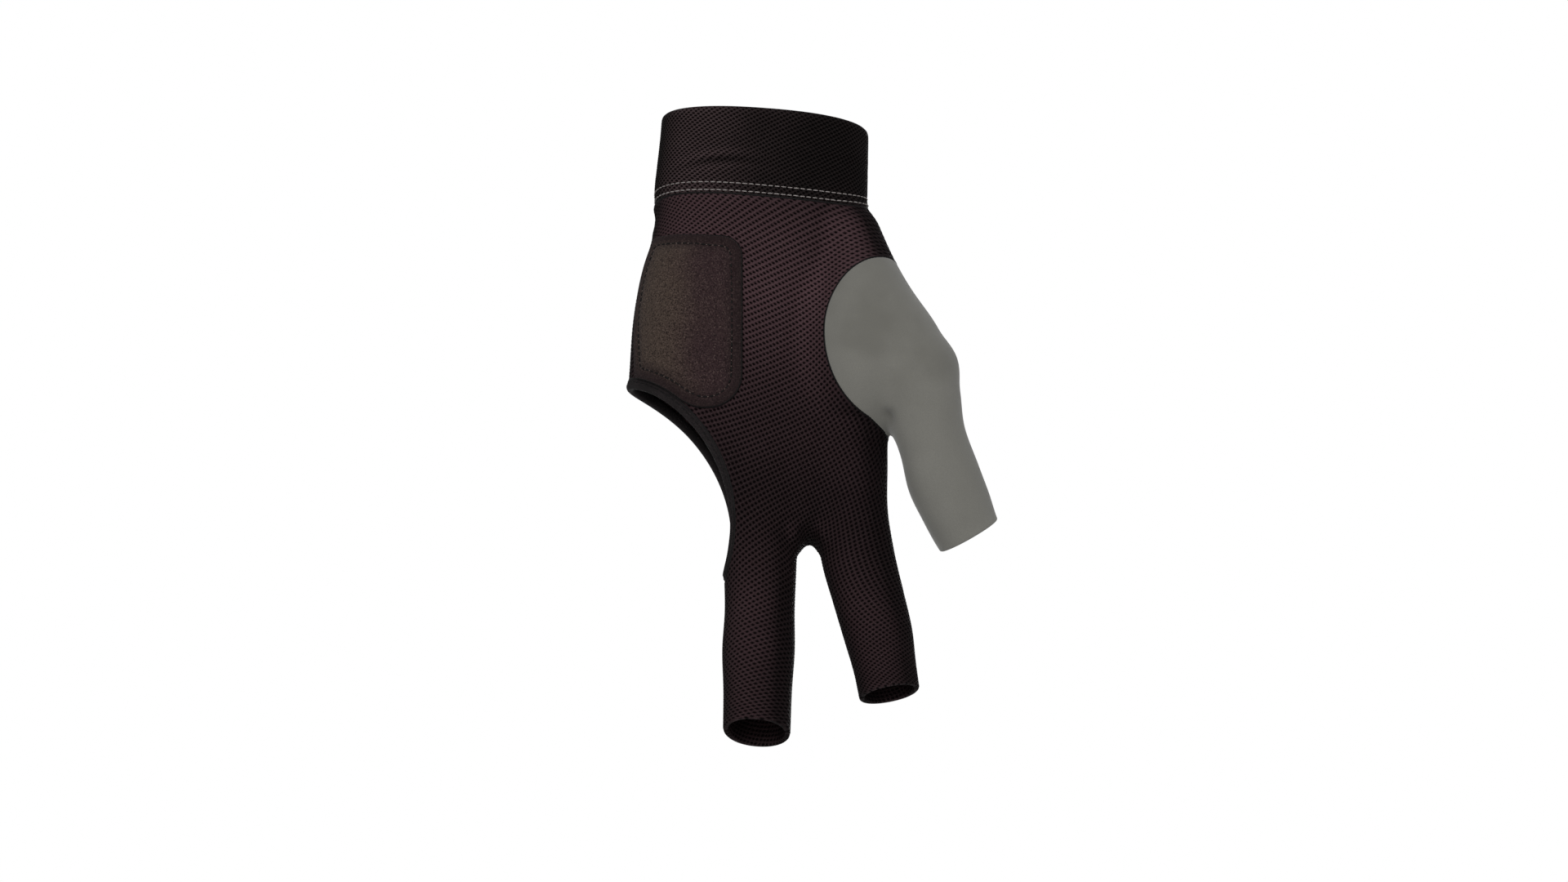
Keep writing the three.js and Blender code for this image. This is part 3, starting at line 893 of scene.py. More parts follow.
def knit_group():
    """Holes of an air mesh from the two phases in the knit map: 1 in a hole, 0 on the yarn.
    Crest is 1 on top of the strands, Filament is the fine run of threads along them, and
    Height is for the bump. The four weights say how strongly each set of rows shows."""
    group, given, out = new_group(
        "air_mesh_knit",
        [
            ("Falling rows", "NodeSocketFloat", 0.85),
            ("Rising rows", "NodeSocketFloat", 1.1),
            ("Upright rows", "NodeSocketFloat", 0.25),
            ("Level rows", "NodeSocketFloat", 0.4),
            ("Hole starts", "NodeSocketFloat", 0.55),
            ("Hole ends", "NodeSocketFloat", 1.9),
            ("Threads per strand", "NodeSocketFloat", 3.0),
            ("Fuzz", "NodeSocketFloat", 0.5),
        ],
        [
            ("Hole", "NodeSocketFloat"),
            ("Crest", "NodeSocketFloat"),
            ("Filament", "NodeSocketFloat"),
            ("Height", "NodeSocketFloat"),
        ],
    )
    phase = node(group, "ShaderNodeUVMap", {"uv_map": "knit"}).outputs[0]
    parts = node(group, "ShaderNodeSeparateXYZ", Vector=phase).outputs
    across = maths(group, "MULTIPLY", parts[0], 2 * math.pi)
    along = maths(group, "MULTIPLY", parts[1], 2 * math.pi)
    rows = {
        "Falling rows": across,
        "Rising rows": along,
        "Upright rows": maths(group, "SUBTRACT", across, along),
        "Level rows": maths(group, "ADD", across, along),
    }
    total = maths(group, "MULTIPLY_ADD", given.outputs["Fuzz"], 1.0, -0.5)
    for name, way in rows.items():
        total = maths(group, "MULTIPLY_ADD", maths(group, "COSINE", way), given.outputs[name], total)
    hole = step_between(group, total, given.outputs["Hole starts"], given.outputs["Hole ends"])
    crest = step_between(group, total, STRAND["side"], STRAND["top"])
    wander = maths(group, "MULTIPLY", given.outputs["Fuzz"], STRAND["wander"])
    run = maths(group, "MULTIPLY_ADD", along, given.outputs["Threads per strand"], wander)
    filament = maths(group, "MULTIPLY_ADD", maths(group, "SINE", run), 0.5, 0.5)
    low = maths(group, "MULTIPLY", total, STRAND["hole"])
    height = maths(group, "MULTIPLY_ADD", filament, STRAND["thread"], low)
    for name, made in (("Hole", hole), ("Crest", crest), ("Filament", filament), ("Height", height)):
        group.links.new(made, out.inputs[name])
    return group


# %% Shared parts of the cloth materials
FIBRE = fibre_group()
KNIT = knit_group()
print("Node groups:", FIBRE.name, "and", KNIT.name)


SHEEN_SPREAD = 0.5


def new_material(name, roughness, gloss, sheen=0.0):
    """A material, its tree and its shader, with what is the same all over the surface."""
    made = bpy.data.materials.new(name)
    made.use_nodes = True
    tree = made.node_tree
    shader = tree.nodes["Principled BSDF"]
    shader.inputs["Roughness"].default_value = roughness
    shader.inputs["Specular IOR Level"].default_value = gloss
    shader.inputs["Sheen Weight"].default_value = sheen
    shader.inputs["Sheen Roughness"].default_value = SHEEN_SPREAD
    return made, tree, shader


def fibre(tree, per_mm, cloud_per_mm):
    """The fuzz and the clouds of the fibre group, at their own sizes."""
    sizes = {"Fibres_per_mm": per_mm, "Cloud_per_mm": cloud_per_mm}
    return node(tree, "ShaderNodeGroup", {"node_tree": FIBRE}, **sizes).outputs


def bump(tree, shader, height, distance, strength):
    """Raises the surface by a height, whose 1 stands for a distance in mm."""
    made = node(tree, "ShaderNodeBump", Height=height, Distance=distance * MM, Strength=strength)
    tree.links.new(made.outputs["Normal"], shader.inputs["Normal"])


def mark_of(tree, name):
    """A number that was marked on the piece's points."""
    return node(tree, "ShaderNodeAttribute", {"attribute_name": name}).outputs["Fac"]


def along_object(tree, axis, low, high):
    """0 to 1 as the cloth runs from low to high, in mm, along an axis."""
    place = node(tree, "ShaderNodeTexCoord").outputs["Object"]
    part = node(tree, "ShaderNodeSeparateXYZ", Vector=place).outputs[axis]
    return step_between(tree, part, low * MM, high * MM)


# %% Air mesh
HOLE_DULL = {"yarn": 0.6, "hole": 0.95}
FADE_CLOUDS = 0.3
THREAD_GAP = {"low": 0.1, "high": 0.9, "shade": 0.3}
# Painted glints: pale flecks on the yarn, stronger where the painted light is high.
GLINT = {"from": 0.56, "to": 0.72, "in_shade": 0.2, "more_in_light": 0.5}


def knit_material(name, valley, crest, glint, hole):
    """Brown-black yarn round holes painted near-black, as painted shade for the dark inside seen through
    them. Valley and crest each have a shaded and a lit colour: the lighter crest is a painted
    highlight on each strand, the lit colours are painted light, partly wear, where the mark is high,
    and pale flecks are painted glints of single threads."""
    made, tree, shader = new_material(name, roughness=HOLE_DULL["yarn"], gloss=0.04)
    fuzz, cloud = fibre(tree, per_mm=5.0, cloud_per_mm=0.045)
    knit = node(tree, "ShaderNodeGroup", {"node_tree": KNIT}, Fuzz=fuzz).outputs
    clouds = maths(tree, "MULTIPLY_ADD", cloud, FADE_CLOUDS, -FADE_CLOUDS / 2)
    lit_and_worn = maths(tree, "ADD", mark_of(tree, "wear_and_shade"), clouds)
    low, high = (blend_colours(tree, lit_and_worn, srgb(*in_shade), srgb(*in_light)) for in_shade, in_light in (valley, crest))
    strand = blend_colours(tree, knit["Crest"], low, high)
    low, high = THREAD_GAP["low"], THREAD_GAP["high"]
    gap = step_between(tree, knit["Filament"], low, high, THREAD_GAP["shade"], 0.0)
    strand = blend_colours(tree, gap, strand, srgb(*hole))
    most = maths(tree, "MULTIPLY_ADD", lit_and_worn, GLINT["more_in_light"], GLINT["in_shade"])
    grain = step_between(tree, fuzz, GLINT["from"], GLINT["to"], 0.0, most)
    strand = blend_colours(tree, grain, strand, srgb(*glint))
    colour = blend_colours(tree, knit["Hole"], strand, srgb(*hole))
    dull = step_between(tree, knit["Hole"], 0.0, 1.0, HOLE_DULL["yarn"], HOLE_DULL["hole"])
    tree.links.new(colour, shader.inputs["Base Color"])
    tree.links.new(dull, shader.inputs["Roughness"])
    height = maths(tree, "MULTIPLY_ADD", fuzz, 0.35, knit["Height"])
    bump(tree, shader, height, distance=0.45, strength=0.8)
    return made


# Each pair below is a shaded colour, then a lit one: painted shade and painted light on the same yarn.
air_mesh = knit_material(
    "air_mesh",
    valley=((9, 6, 7), (64, 47, 50)),
    crest=((33, 25, 26), (88, 66, 70)),
    glint=(122, 104, 106),
    hole=(8, 4, 5),
)
cuff_mesh = knit_material(
    "cuff_mesh",
    valley=((8, 6, 6), (66, 50, 52)),
    crest=((30, 25, 25), (96, 80, 82)),
    glint=(116, 104, 102),
    hole=(6, 4, 4),
)
print("Knit materials:", air_mesh.name, "and", cuff_mesh.name)

# %% [markdown]
# ## The plain cloths and the thread
# The other finishes have no pattern, only fibres. Stretch cloth is even and slightly fuzzy, and a
# little sheen stands for the fuzz at its sides. Suede is a nap of short fibres that lie every way,
# so it is a speckle of dark and light points. Tape and thread are twisted or woven so finely that
# a streaky fuzz is enough. Pictures of cloth could be laid over the pieces, but they blur close up
# and show where they repeat. Noise on object coordinates does neither.

# %% Stretch cloth
STRETCH = {
    "dark": (105, 104, 98),
    "light": (119, 118, 112),
    "stretched": (130, 129, 123),
    "fibre": (100, 99, 94),
    "fork_shade": (52, 50, 47),
}
STRETCHED = {"from": -76, "to": -100, "share": 0.4}


def stretch_material():
    """Smooth stretch cloth: an even grey with a little fuzz, a little paler where the sleeve
    stretches it, and darkened with painted shade where the fork's shade mark is high."""
    made, tree, shader = new_material("stretch_cloth", roughness=0.85, gloss=0.12, sheen=0.35)
    fuzz, cloud = fibre(tree, per_mm=5.0, cloud_per_mm=0.06)
    dark, light, stretched, grain, fork_shade = (srgb(*colour) for colour in STRETCH.values())
    tint = blend_colours(tree, step_between(tree, cloud, 0.3, 0.7), dark, light)
    down = along_object(tree, 2, STRETCHED["from"], STRETCHED["to"])
    tint = blend_colours(tree, maths(tree, "MULTIPLY", down, STRETCHED["share"]), tint, stretched)
    tint = blend_colours(tree, step_between(tree, fuzz, 0.3, 0.7, out_high=0.6), tint, grain)
    colour = blend_colours(tree, mark_of(tree, "fork_shade"), tint, fork_shade)
    tree.links.new(colour, shader.inputs["Base Color"])
    bump(tree, shader, fuzz, distance=0.12, strength=0.5)
    return made


stretch_cloth = stretch_material()
print("Made", stretch_cloth.name)

# %% Suede
SUEDE = {
    "outer": (68, 57, 50),
    "inner": (50, 36, 38),
    "rim": (36, 26, 27),
    "dark point": (24, 16, 16),
    "light point": (98, 84, 77),
}
# Olive at the outer side, purple-brown at the inner; the outer side's extra lightness is painted light.
SUEDE_SIDES = {"outer": -31, "inner": -14, "clouds": 0.9, "from": -0.1, "to": 1.1}
DARK_POINTS = {"from": 0.52, "to": 0.36, "most": 0.9}
LIGHT_POINTS = {"from": 0.53, "to": 0.72, "at_rim": 0.18, "more_inside": 0.5}


def suede_material():
    """Suede-like patch: a speckled nap, olive at the outer side and purple-brown at the inner, with
    the outer side painted lighter as painted light from the left, and darker at the rim, which has
    worn less."""
    made, tree, shader = new_material("suede", roughness=0.9, gloss=0.08, sheen=0.06)
    fuzz, cloud = fibre(tree, per_mm=2.4, cloud_per_mm=0.07)
    outer, inner, rim, dark, light = (srgb(*colour) for colour in SUEDE.values())
    clouds = maths(tree, "MULTIPLY_ADD", cloud, SUEDE_SIDES["clouds"], -SUEDE_SIDES["clouds"] / 2)
    side = maths(tree, "ADD", along_object(tree, 0, SUEDE_SIDES["outer"], SUEDE_SIDES["inner"]), clouds)
    side = step_between(tree, side, SUEDE_SIDES["from"], SUEDE_SIDES["to"])
    worn = mark_of(tree, "wear_and_shade")
    tint = blend_colours(tree, worn, rim, blend_colours(tree, side, outer, inner))
    deep = step_between(tree, fuzz, DARK_POINTS["from"], DARK_POINTS["to"], out_high=DARK_POINTS["most"])
    tint = blend_colours(tree, deep, tint, dark)
    most = maths(tree, "MULTIPLY_ADD", worn, LIGHT_POINTS["more_inside"], LIGHT_POINTS["at_rim"])
    shine = step_between(tree, fuzz, LIGHT_POINTS["from"], LIGHT_POINTS["to"], out_high=most)
    tree.links.new(blend_colours(tree, shine, tint, light), shader.inputs["Base Color"])
    bump(tree, shader, fuzz, distance=0.3, strength=0.8)
    return made


suede = suede_material()
print("Made", suede.name)

# %% Tape and thread
TAPE = {"dark": (20, 15, 16), "light": (31, 25, 26), "gap": (9, 6, 7), "fibre": (70, 64, 64)}


def tape_material():
    """Folded tape: black, finely woven."""
    made, tree, shader = new_material("binding_tape", roughness=0.75, gloss=0.2)
    fuzz, cloud = fibre(tree, per_mm=3.5, cloud_per_mm=0.2)
    dark, light, gap, grain = (srgb(*colour) for colour in TAPE.values())
    tint = blend_colours(tree, step_between(tree, cloud, 0.3, 0.7), dark, light)
    tint = blend_colours(tree, step_between(tree, fuzz, 0.36, 0.55), gap, tint)
    colour = blend_colours(tree, step_between(tree, fuzz, 0.6, 0.75), tint, grain)
    tree.links.new(colour, shader.inputs["Base Color"])
    bump(tree, shader, fuzz, distance=0.4, strength=0.8)
    return made


def thread_material(name, light, dark, gloss):
    """Twisted sewing thread."""
    made, tree, shader = new_material(name, roughness=0.5, gloss=gloss)
    fuzz, _ = fibre(tree, per_mm=6.0, cloud_per_mm=0.4)
    colour = blend_colours(tree, step_between(tree, fuzz, 0.3, 0.7), srgb(*light), srgb(*dark))
    tree.links.new(colour, shader.inputs["Base Color"])
    bump(tree, shader, fuzz, distance=0.1, strength=0.6)
    return made


binding_tape = tape_material()
light_thread = thread_material("light_thread", (156, 150, 148), (108, 102, 100), gloss=0.2)
# A pale thread for painted glints on the patch's dark stitches.
glint_thread = thread_material("glint_thread", (118, 106, 100), (76, 68, 64), gloss=0.2)
dark_thread = thread_material("dark_thread", (12, 9, 10), (4, 3, 3), gloss=0.15)
print("Materials:", ", ".join(m.name for m in bpy.data.materials))

# %% [markdown]
# ## The knit
# Air mesh is knitted on a warp machine and stretches unevenly when worn: the rows of holes fan
# out over the palm and close up towards the sleeves. A short list says how steeply
# both sets of rows run at some places, and how far apart they are. A smooth phase is fitted to it
# over the cloth laid flat, and one point is set in the middle of each hole, six round its edge
# and one wherever three strands meet. So each hole is a real dimple that follows the stretch,
# which a picture laid over the cloth wouldn't do.

# %% The run of the palm's rows
# Angles are in degrees and distances between rows in millimetres.
KNIT_ROWS = table("x z rise pitch fall fall_pitch", [
    (-20, -32, 35, 1.25, -40, 0.9),
    (0, -34, 30, 1.5, -40, 0.9),
    (18, -38, 40, 1.65, -35, 1.0),
    (-30, -58, 30, 1.35, -35, 1.05),
    (0, -56, 15, 1.4, -45, 1.3),
    (18, -50, 30, 1.55, -40, 1.2),
    (-30, -78, 35, 1.4, -35, 1.05),
    (5, -74, 15, 1.35, -50, 1.3),
    (-14, -95, 40, 1.4, -50, 0.95),
    (8, -94, 25, 1.4, -60, 1.1),
    (24, -96, 30, 1.2, -70, 1.15),
    (-5, -114, 35, 1.25, -70, 0.95),
    (12, -114, 30, 1.3, -80, 1.0),
    (29, -112, 40, 1.05, -85, 1.0),
    (-8, -146, 20, 1.1, -60, 1.05),
    (7, -146, 20, 1.1, -60, 1.1),
    (-8, -172, 20, 1.1, -50, 1.1),
    (7, -172, 20, 1.1, -50, 1.0),
    (24, -144, 40, 1.15, -30, 1.2),
    (36, -148, 35, 1.1, -40, 1.0),
    (34, -166, 35, 1.15, -30, 1.0),
])
print("The palm's rows are set at", len(KNIT_ROWS["x"]), "places")

# %% Phases of the knit
KNIT_CENTRE = (0, -90)
KNIT_REACH = 60
KNIT_DEGREE = 4
KNIT_CALM = 0.02
BACK_KNIT = {"rise": 30, "pitch": 1.36, "fall": -46, "fall_pitch": 1.16}


def wave(angle, pitch):
    """The phase's slope for rows that rise by an angle, in degrees, at a pitch."""
    turn = np.radians(angle)
    return np.stack([-np.sin(turn), np.cos(turn)], -1) / np.reshape(pitch, (-1, 1))


POWERS = [(i, d - i) for d in range(1, KNIT_DEGREE + 1) for i in range(d + 1)]


def fitted_phase(places, slopes, flat):
    """A smooth phase at each flat point, whose slopes come close to those given at the places."""
    u, v = (places - KNIT_CENTRE).T / KNIT_REACH
    in_u = np.stack([i * u ** max(i - 1, 0) * v ** j for i, j in POWERS], -1) / KNIT_REACH
    in_v = np.stack([j * u ** i * v ** max(j - 1, 0) for i, j in POWERS], -1) / KNIT_REACH
    calm = np.diag([KNIT_CALM * (i + j - 1) for i, j in POWERS]) / KNIT_REACH
    known = np.concatenate([slopes[:, 0], slopes[:, 1], np.zeros(len(POWERS))])
    share = np.linalg.lstsq(np.concatenate([in_u, in_v, calm]), known, rcond=None)[0]
    u, v = (flat - KNIT_CENTRE).T / KNIT_REACH
    return sum(s * u ** i * v ** j for s, (i, j) in zip(share, POWERS))


def palm_phase(guide, flat):
    """The rows of the table are as seen, so each is first carried over to the flat sheet."""
    seen = guide.points[:, ::2]
    face = guide.faces[under(seen, guide.faces, np.stack([KNIT_ROWS["x"], KNIT_ROWS["z"]], -1))]
    places = flat[face].mean(1)
    a, b, c = face.T
    edges = lambda at: np.stack([at[b] - at[a], at[c] - at[a]], -1)
    carry = edges(seen) @ np.linalg.inv(edges(flat))
    phases = []
    for angle, pitch in (("fall", "fall_pitch"), ("rise", "pitch")):
        slopes = wave(KNIT_ROWS[angle], KNIT_ROWS[pitch])
        slopes = (slopes[:, None, :] @ carry)[:, 0]
        phases.append(fitted_phase(places, slopes, flat))
    return np.stack(phases, -1)


def back_phase(guide, flat):
    """Even rows: nothing is known of the back's."""
    falling = wave(BACK_KNIT["fall"], BACK_KNIT["fall_pitch"])
    rising = wave(BACK_KNIT["rise"], BACK_KNIT["pitch"])
    return flat @ np.concatenate([falling, rising]).T


# %% Laying a sheet flat
UNWRAP_ROUNDS = 10


def laid_flat(sheet, sideways):
    """Flat places of a sheet's points in mm, turned to lie as seen from its own side."""
    piece = new_piece("flat", sheet.points, sheet.faces, np.zeros((sheet.faces.size, 2)))
    bpy.context.view_layer.objects.active = piece
    piece.select_set(True)
    bpy.ops.object.mode_set(mode="EDIT")
    bpy.ops.mesh.select_all(action="SELECT")
    bpy.ops.uv.select_all(action="SELECT")
    how = {"method": "MINIMUM_STRETCH", "iterations": UNWRAP_ROUNDS}
    bpy.ops.uv.unwrap(correct_aspect=False, margin=0, **how)
    bpy.ops.object.mode_set(mode="OBJECT")
    read = np.zeros(sheet.faces.size * 2, np.float32)
    piece.data.uv_layers["knit"].data.foreach_get("uv", read)
    used_mesh = piece.data
    bpy.data.objects.remove(piece)
    bpy.data.meshes.remove(used_mesh)
    flat = np.zeros((len(sheet.points), 2))
    flat[sheet.faces.ravel()] = read.reshape(-1, 2)
    a, b = sheet.faces[:, 0], sheet.faces[:, 1]
    real = np.linalg.norm(sheet.points[a] - sheet.points[b], axis=1).sum()
    flat *= real / np.linalg.norm(flat[a] - flat[b], axis=1).sum()
    seen = sheet.points[:, ::2] * np.array((sideways, 1))
    turn, _, back = np.linalg.svd((flat - flat.mean(0)).T @ (seen - seen.mean(0)))
    return (flat - flat.mean(0)) @ turn @ back + seen.mean(0)


def under(plane, faces, places):
    """The face of a flat net that lies under each place, or -1."""
    corners = np.column_stack([plane, np.zeros(len(plane))])
    tree = BVHTree.FromPolygons(corners.tolist(), faces.tolist())
    down = Vector((0, 0, -1))
    hits = [tree.ray_cast(Vector((x, y, 1)), down)[2] for x, y in places.tolist()]
    return np.array([-1 if face is None else face for face in hits])


def weights(points, corners):
    """How much each corner of a triangle counts at each point."""
    a, b, c = corners[:, 0], corners[:, 1], corners[:, 2]
    whole = np.cross(b - a, c - a)
    size = np.maximum((whole * whole).sum(-1), NEARLY_ZERO)
    second = (np.cross(points - a, c - a) * whole).sum(-1) / size
    third = (np.cross(b - a, points - a) * whole).sum(-1) / size
    return np.stack([1 - second - third, second, third], -1)


# %% Knitted sheets
HOLE_EDGE = {"side": 0.88, "upright": 0.6}
RELIEF = {"hole": -0.5, "edge": -0.03, "strands": 0.06}


def knit_points(low, high):
    """Numbers, phases and relief of the knit's points, three to a pitch each way. A point whose
    numbers both divide by three is the middle of a hole. The six round it are drawn in to the
    hole's edge, and the rest lie where three strands meet."""
    number = np.stack(np.meshgrid(*[np.arange(a, b) for a, b in zip(low, high)], indexing="ij"), -1)
    part = (number + 1) % 3 - 1
    hole = (part == 0).all(-1)
    strands = (part[..., 0] * part[..., 1]) < 0
    upright = part[..., 0] * part[..., 1] > 0
    share = np.where(upright, HOLE_EDGE["upright"], HOLE_EDGE["side"])[..., None]
    drawn = np.where((hole | strands)[..., None], 0, part * (share - 1))
    relief = np.select([hole, strands], [RELIEF["hole"], RELIEF["strands"]], RELIEF["edge"])
    return number, (number + drawn) / 3, relief


def knit_faces(index):
    """Triangles between numbered points, with the diagonal along the third row of holes."""
    a, b = index[:-1, :-1], index[1:, :-1]
    c, d = index[1:, 1:], index[:-1, 1:]
    faces = np.concatenate([np.stack([a, b, c], -1).reshape(-1, 3), np.stack([a, c, d], -1).reshape(-1, 3)])
    return faces[(faces >= 0).all(1)]


def knitted(guide, phase):
    """The guide sheet made again from the knit's own points."""
    low = np.floor(phase.min(0) * 3).astype(int)
    high = np.ceil(phase.max(0) * 3).astype(int) + 1
    number, wanted, relief = knit_points(low, high)
    found = under(phase, guide.faces, wanted.reshape(-1, 2))
    plane = np.column_stack([phase, np.zeros(len(phase))])
    ok = found >= 0
    face = guide.faces[found[ok]]
    at = np.column_stack([wanted.reshape(-1, 2)[ok], np.zeros(ok.sum())])
    share = weights(at, plane[face])
    points = settle(settle((guide.points[face] * share[..., None]).sum(1)))
    index = -np.ones(ok.shape, int)
    index[ok] = np.arange(ok.sum())
    faces = knit_faces(index.reshape(relief.shape))
    values = {"facing": facing_at(points), "relief": relief.ravel()[ok]}
    return Sheet(points, faces, near=np.full(len(points), FAR), edge=np.zeros(len(points)), **values)


def phase_reader(guide, phase):
    """Reads the phase at any point near the guide sheet."""
    tree = BVHTree.FromPolygons(guide.points.tolist(), guide.faces.tolist())

    def at(points):
        nearest = [tree.find_nearest(Vector(p)) for p in points.tolist()]
        face = guide.faces[[hit[2] for hit in nearest]]
        place = np.array([hit[0][:] for hit in nearest])
        return (phase[face] * weights(place, guide.points[face])[..., None]).sum(1)

    return at


# %% [markdown]
# ## The panels
# Each panel is cut from the surface along its seams, once finely for the side that shows and once
# coarsely for its lining. The side that shows is the knit's own net of points where the cloth is
# mesh. The seam allowance is what keeps the panels apart, so each is drawn in by half of the gap
# and by the radius of its rolled edge.

# %% Cuts of the panels
SEAM_GAP = 0.02
SEAM_EDGE = 0.5
CUFF_EDGE = 0.6
MOUTH_EDGE = 1.1
END_EDGE = 0.5
LINING_IN = 0.6
GUIDE_PAST = 3.0
TOUCH = {"knit": 0.1, "fine": 0.22, "lining": 0.4}
MESH_CLOTH = {"out": 0.0, "depth": 1.5}
THUMB_CLOTH = {"out": 0.0, "depth": 1.1}
CUFF_CLOTH = {"out": 0.7, "depth": 1.8}

body_borders = [
    (below_cuff, CUFF_EDGE),
    (clear_of_binding, SEAM_EDGE),
    (flip(on_thumb), SEAM_EDGE),
    (before_middle_end, END_EDGE),
    (before_index_end, END_EDGE),
]
palm_borders = body_borders + [(palm_side, SEAM_EDGE)]
back_borders = body_borders + [(flip(palm_side), SEAM_EDGE)]
thumb_borders = [(below_cuff, CUFF_EDGE), (on_thumb, SEAM_EDGE), (before_thumb_end, END_EDGE)]
cuff_borders = [(below_mouth, MOUTH_EDGE), (flip(below_cuff), CUFF_EDGE)]


def trimmed(sheet, borders, touch, more=0.0):
    """A sheet cut along its borders, with room for its rolled edge."""
    for border, edge in borders:
        sheet = cut(sheet, border, edge + SEAM_GAP / 2 + more, edge, touch)
    return largest(sheet)


def lining(borders):
    """The inner layer of a wall, which stops short of its edge."""
    return trimmed(coarse, borders, TOUCH["lining"], LINING_IN)


def clipped(sheet, borders):
    """A quick cut well outside the borders, so that the fine cuts have less to do."""
    for border, _ in borders:
        sheet = cut(sheet, border, -GUIDE_PAST, None, TOUCH["lining"])
    return sheet


# %% Relief of the panels, and their painted light and shade
PUCKERS = table("x y z reach high", [
    (-32.2, -1.5, -25.6, 2.2, 0.7),
    (-32.0, -3.0, -29.6, 1.5, -0.6),
    (-33.0, 1.0, -32.5, 2.2, 0.35),
])
RELIEF_ENDS = {"from": 0.15, "over": 0.9}


def faded_relief(sheet):
    """The dimples, which end before a seam."""
    share = np.clip((sheet.values["near"] - RELIEF_ENDS["from"]) / RELIEF_ENDS["over"], 0, 1)
    return sheet.values["relief"] * share * share * (3 - 2 * share)


def puckers(points):
    """Small gathers where the side seam runs into the cuff's."""
    total = np.zeros(len(points))
    for x, y, z, reach, high in zip(*PUCKERS.values()):
        away = np.linalg.norm(points - (x, y, z), axis=1) / reach
        total += high * np.exp(-away * away)
    return total


# Painted light along the hand, partly also wear: lightest on the palm, painted shade towards the sleeves.
LIGHT_AND_WEAR = table("z share", [
    (10, 0.7),
    (-30, 0.75),
    (-54, 1.0),
    (-72, 0.66),
    (-92, 0.27),
    (-114, 0.13),
    (-128, 0.2),
    (-146, 0.46),
    (-160, 0.42),
    (-195, 0.28),
])
# The way the painted light comes from: cloth that faces it is lit, and its sides are painted in shade.
LIT_FACING = {"way": (-0.3, -0.94, 0.12), "from": 0.64, "to": 1.0, "back": 0.92}
INDEX_SHADE = {"x": 12.0, "x_over": 6.0, "z": -112.0, "z_over": 22.0, "less": 0.3}


def light_and_wear_at(points, places, column):
    """Painted light and shade, partly also wear: highest where the cloth faces the front, a little to
    the left, or straight back, and painted shade at the sides, which turn away. The places give the
    highest value along one axis."""
    way = unit(np.array(LIT_FACING["way"]))
    faces_light = facing_at(points) @ way
    toward_light = np.maximum(faces_light, -LIT_FACING["back"] * faces_light)
    share = np.clip((toward_light - LIT_FACING["from"]) / (LIT_FACING["to"] - LIT_FACING["from"]), 0, 1)
    stations, shares = places.values()
    order = np.argsort(stations)
    return share * np.interp(points[:, column], stations[order], shares[order])


def index_share(points):
    """The index sleeve is painted darker than the rest, as painted shade."""
    aside = np.clip((points[:, 0] - INDEX_SHADE["x"]) / INDEX_SHADE["x_over"], 0, 1)
    down = np.clip((INDEX_SHADE["z"] - points[:, 2]) / INDEX_SHADE["z_over"], 0, 1)
    return 1 - INDEX_SHADE["less"] * aside * down


# %% Palm and back
def corner_values(values, faces):
    """The values of the points at each corner of each face."""
    return values[faces].reshape(-1, values.shape[1])


def mesh_panel(name, borders, sideways, phase_of):
    """A panel of air mesh with real dimples, its outer sheet and its flat cut."""
    guide = largest(clipped(coarse, borders))
    flat = laid_flat(guide, sideways)
    phase = phase_of(guide, flat)
    top = trimmed(knitted(guide, phase), borders, TOUCH["knit"])
    relief = faded_relief(top) + puckers(top.points)
    points, faces = wall(top, lining(borders), relief=relief, **MESH_CLOTH)
    uv = corner_values(phase_reader(guide, phase)(points), faces)
    piece = new_piece(name, points, faces, uv)
    # The mark of painted light and shade, partly wear, which the material reads.
    mark(piece, "wear_and_shade", light_and_wear_at(points, LIGHT_AND_WEAR, 2) * index_share(points))
    inside = np.all([border(guide.points) <= 0 for border, _ in borders], axis=0)
    return piece, top, flat_cut(guide, flat, inside)


def flat_cut(sheet, flat, inside):
    """The width, length and area in metres of the part of a sheet that is inside its borders."""
    whole = sheet.faces[inside[sheet.faces].all(1)]
    a, b, c = (sheet.points[whole[:, i]] for i in range(3))
    area = np.linalg.norm(np.cross(b - a, c - a), axis=1).sum() / 2
    wide, long = (np.ptp(flat[inside], axis=0) * MM).tolist()
    return {"flat": (round(wide, 4), round(long, 4)), "area": round(float(area) * MM * MM, 6)}


palm, palm_sheet, palm_cut = mesh_panel("palm_panel_cloth", palm_borders, 1, palm_phase)
back, back_sheet, back_cut = mesh_panel("back_panel_cloth", back_borders, -1, back_phase)
dress(palm, "palm_panel", air_mesh)
dress(back, "back_panel", air_mesh)
print("Flat cuts:", palm_cut, back_cut)

# %% [markdown]
# ## The cuff
# The cuff is a band of the same mesh folded double, so it is thicker than the panels and its mouth
# is a soft round fold. Its rows of holes climb round the wrist at a constant slant, and a whole
# number of rows has to meet where the band closes, as on a real tube of knit. So the two phases
# are set by whole turns round the wrist and by a rise per millimetre.

# %% The cuff's own places: how far round, how far above the seam
CUFF_LEVEL = -11.0
ROUND_STEPS = 720
RADIAL_TRIES = 6
RADIUS_GUESS = 24.0


def seam_height(x, y):
    return ring_height(CUFF_SEAM, x, y)


def around(angle, height):
    """The surface point at an angle round the wrist and a height above the cuff's seam."""
    way = np.stack([np.sin(angle), -np.cos(angle), np.zeros_like(angle)], -1)

    def out_at(radius):
        point = way * radius[:, None]
        point[:, 2] = seam_height(point[:, 0], point[:, 1]) + height
        return point

    radius = np.full(len(angle), RADIUS_GUESS)
    for _ in range(RADIAL_TRIES):
        point = out_at(radius)
        rise = (slope(form, point) * way).sum(-1)
        radius = radius - form(point) / np.maximum(rise, LEAST_GAIN)
    return settle(out_at(radius))


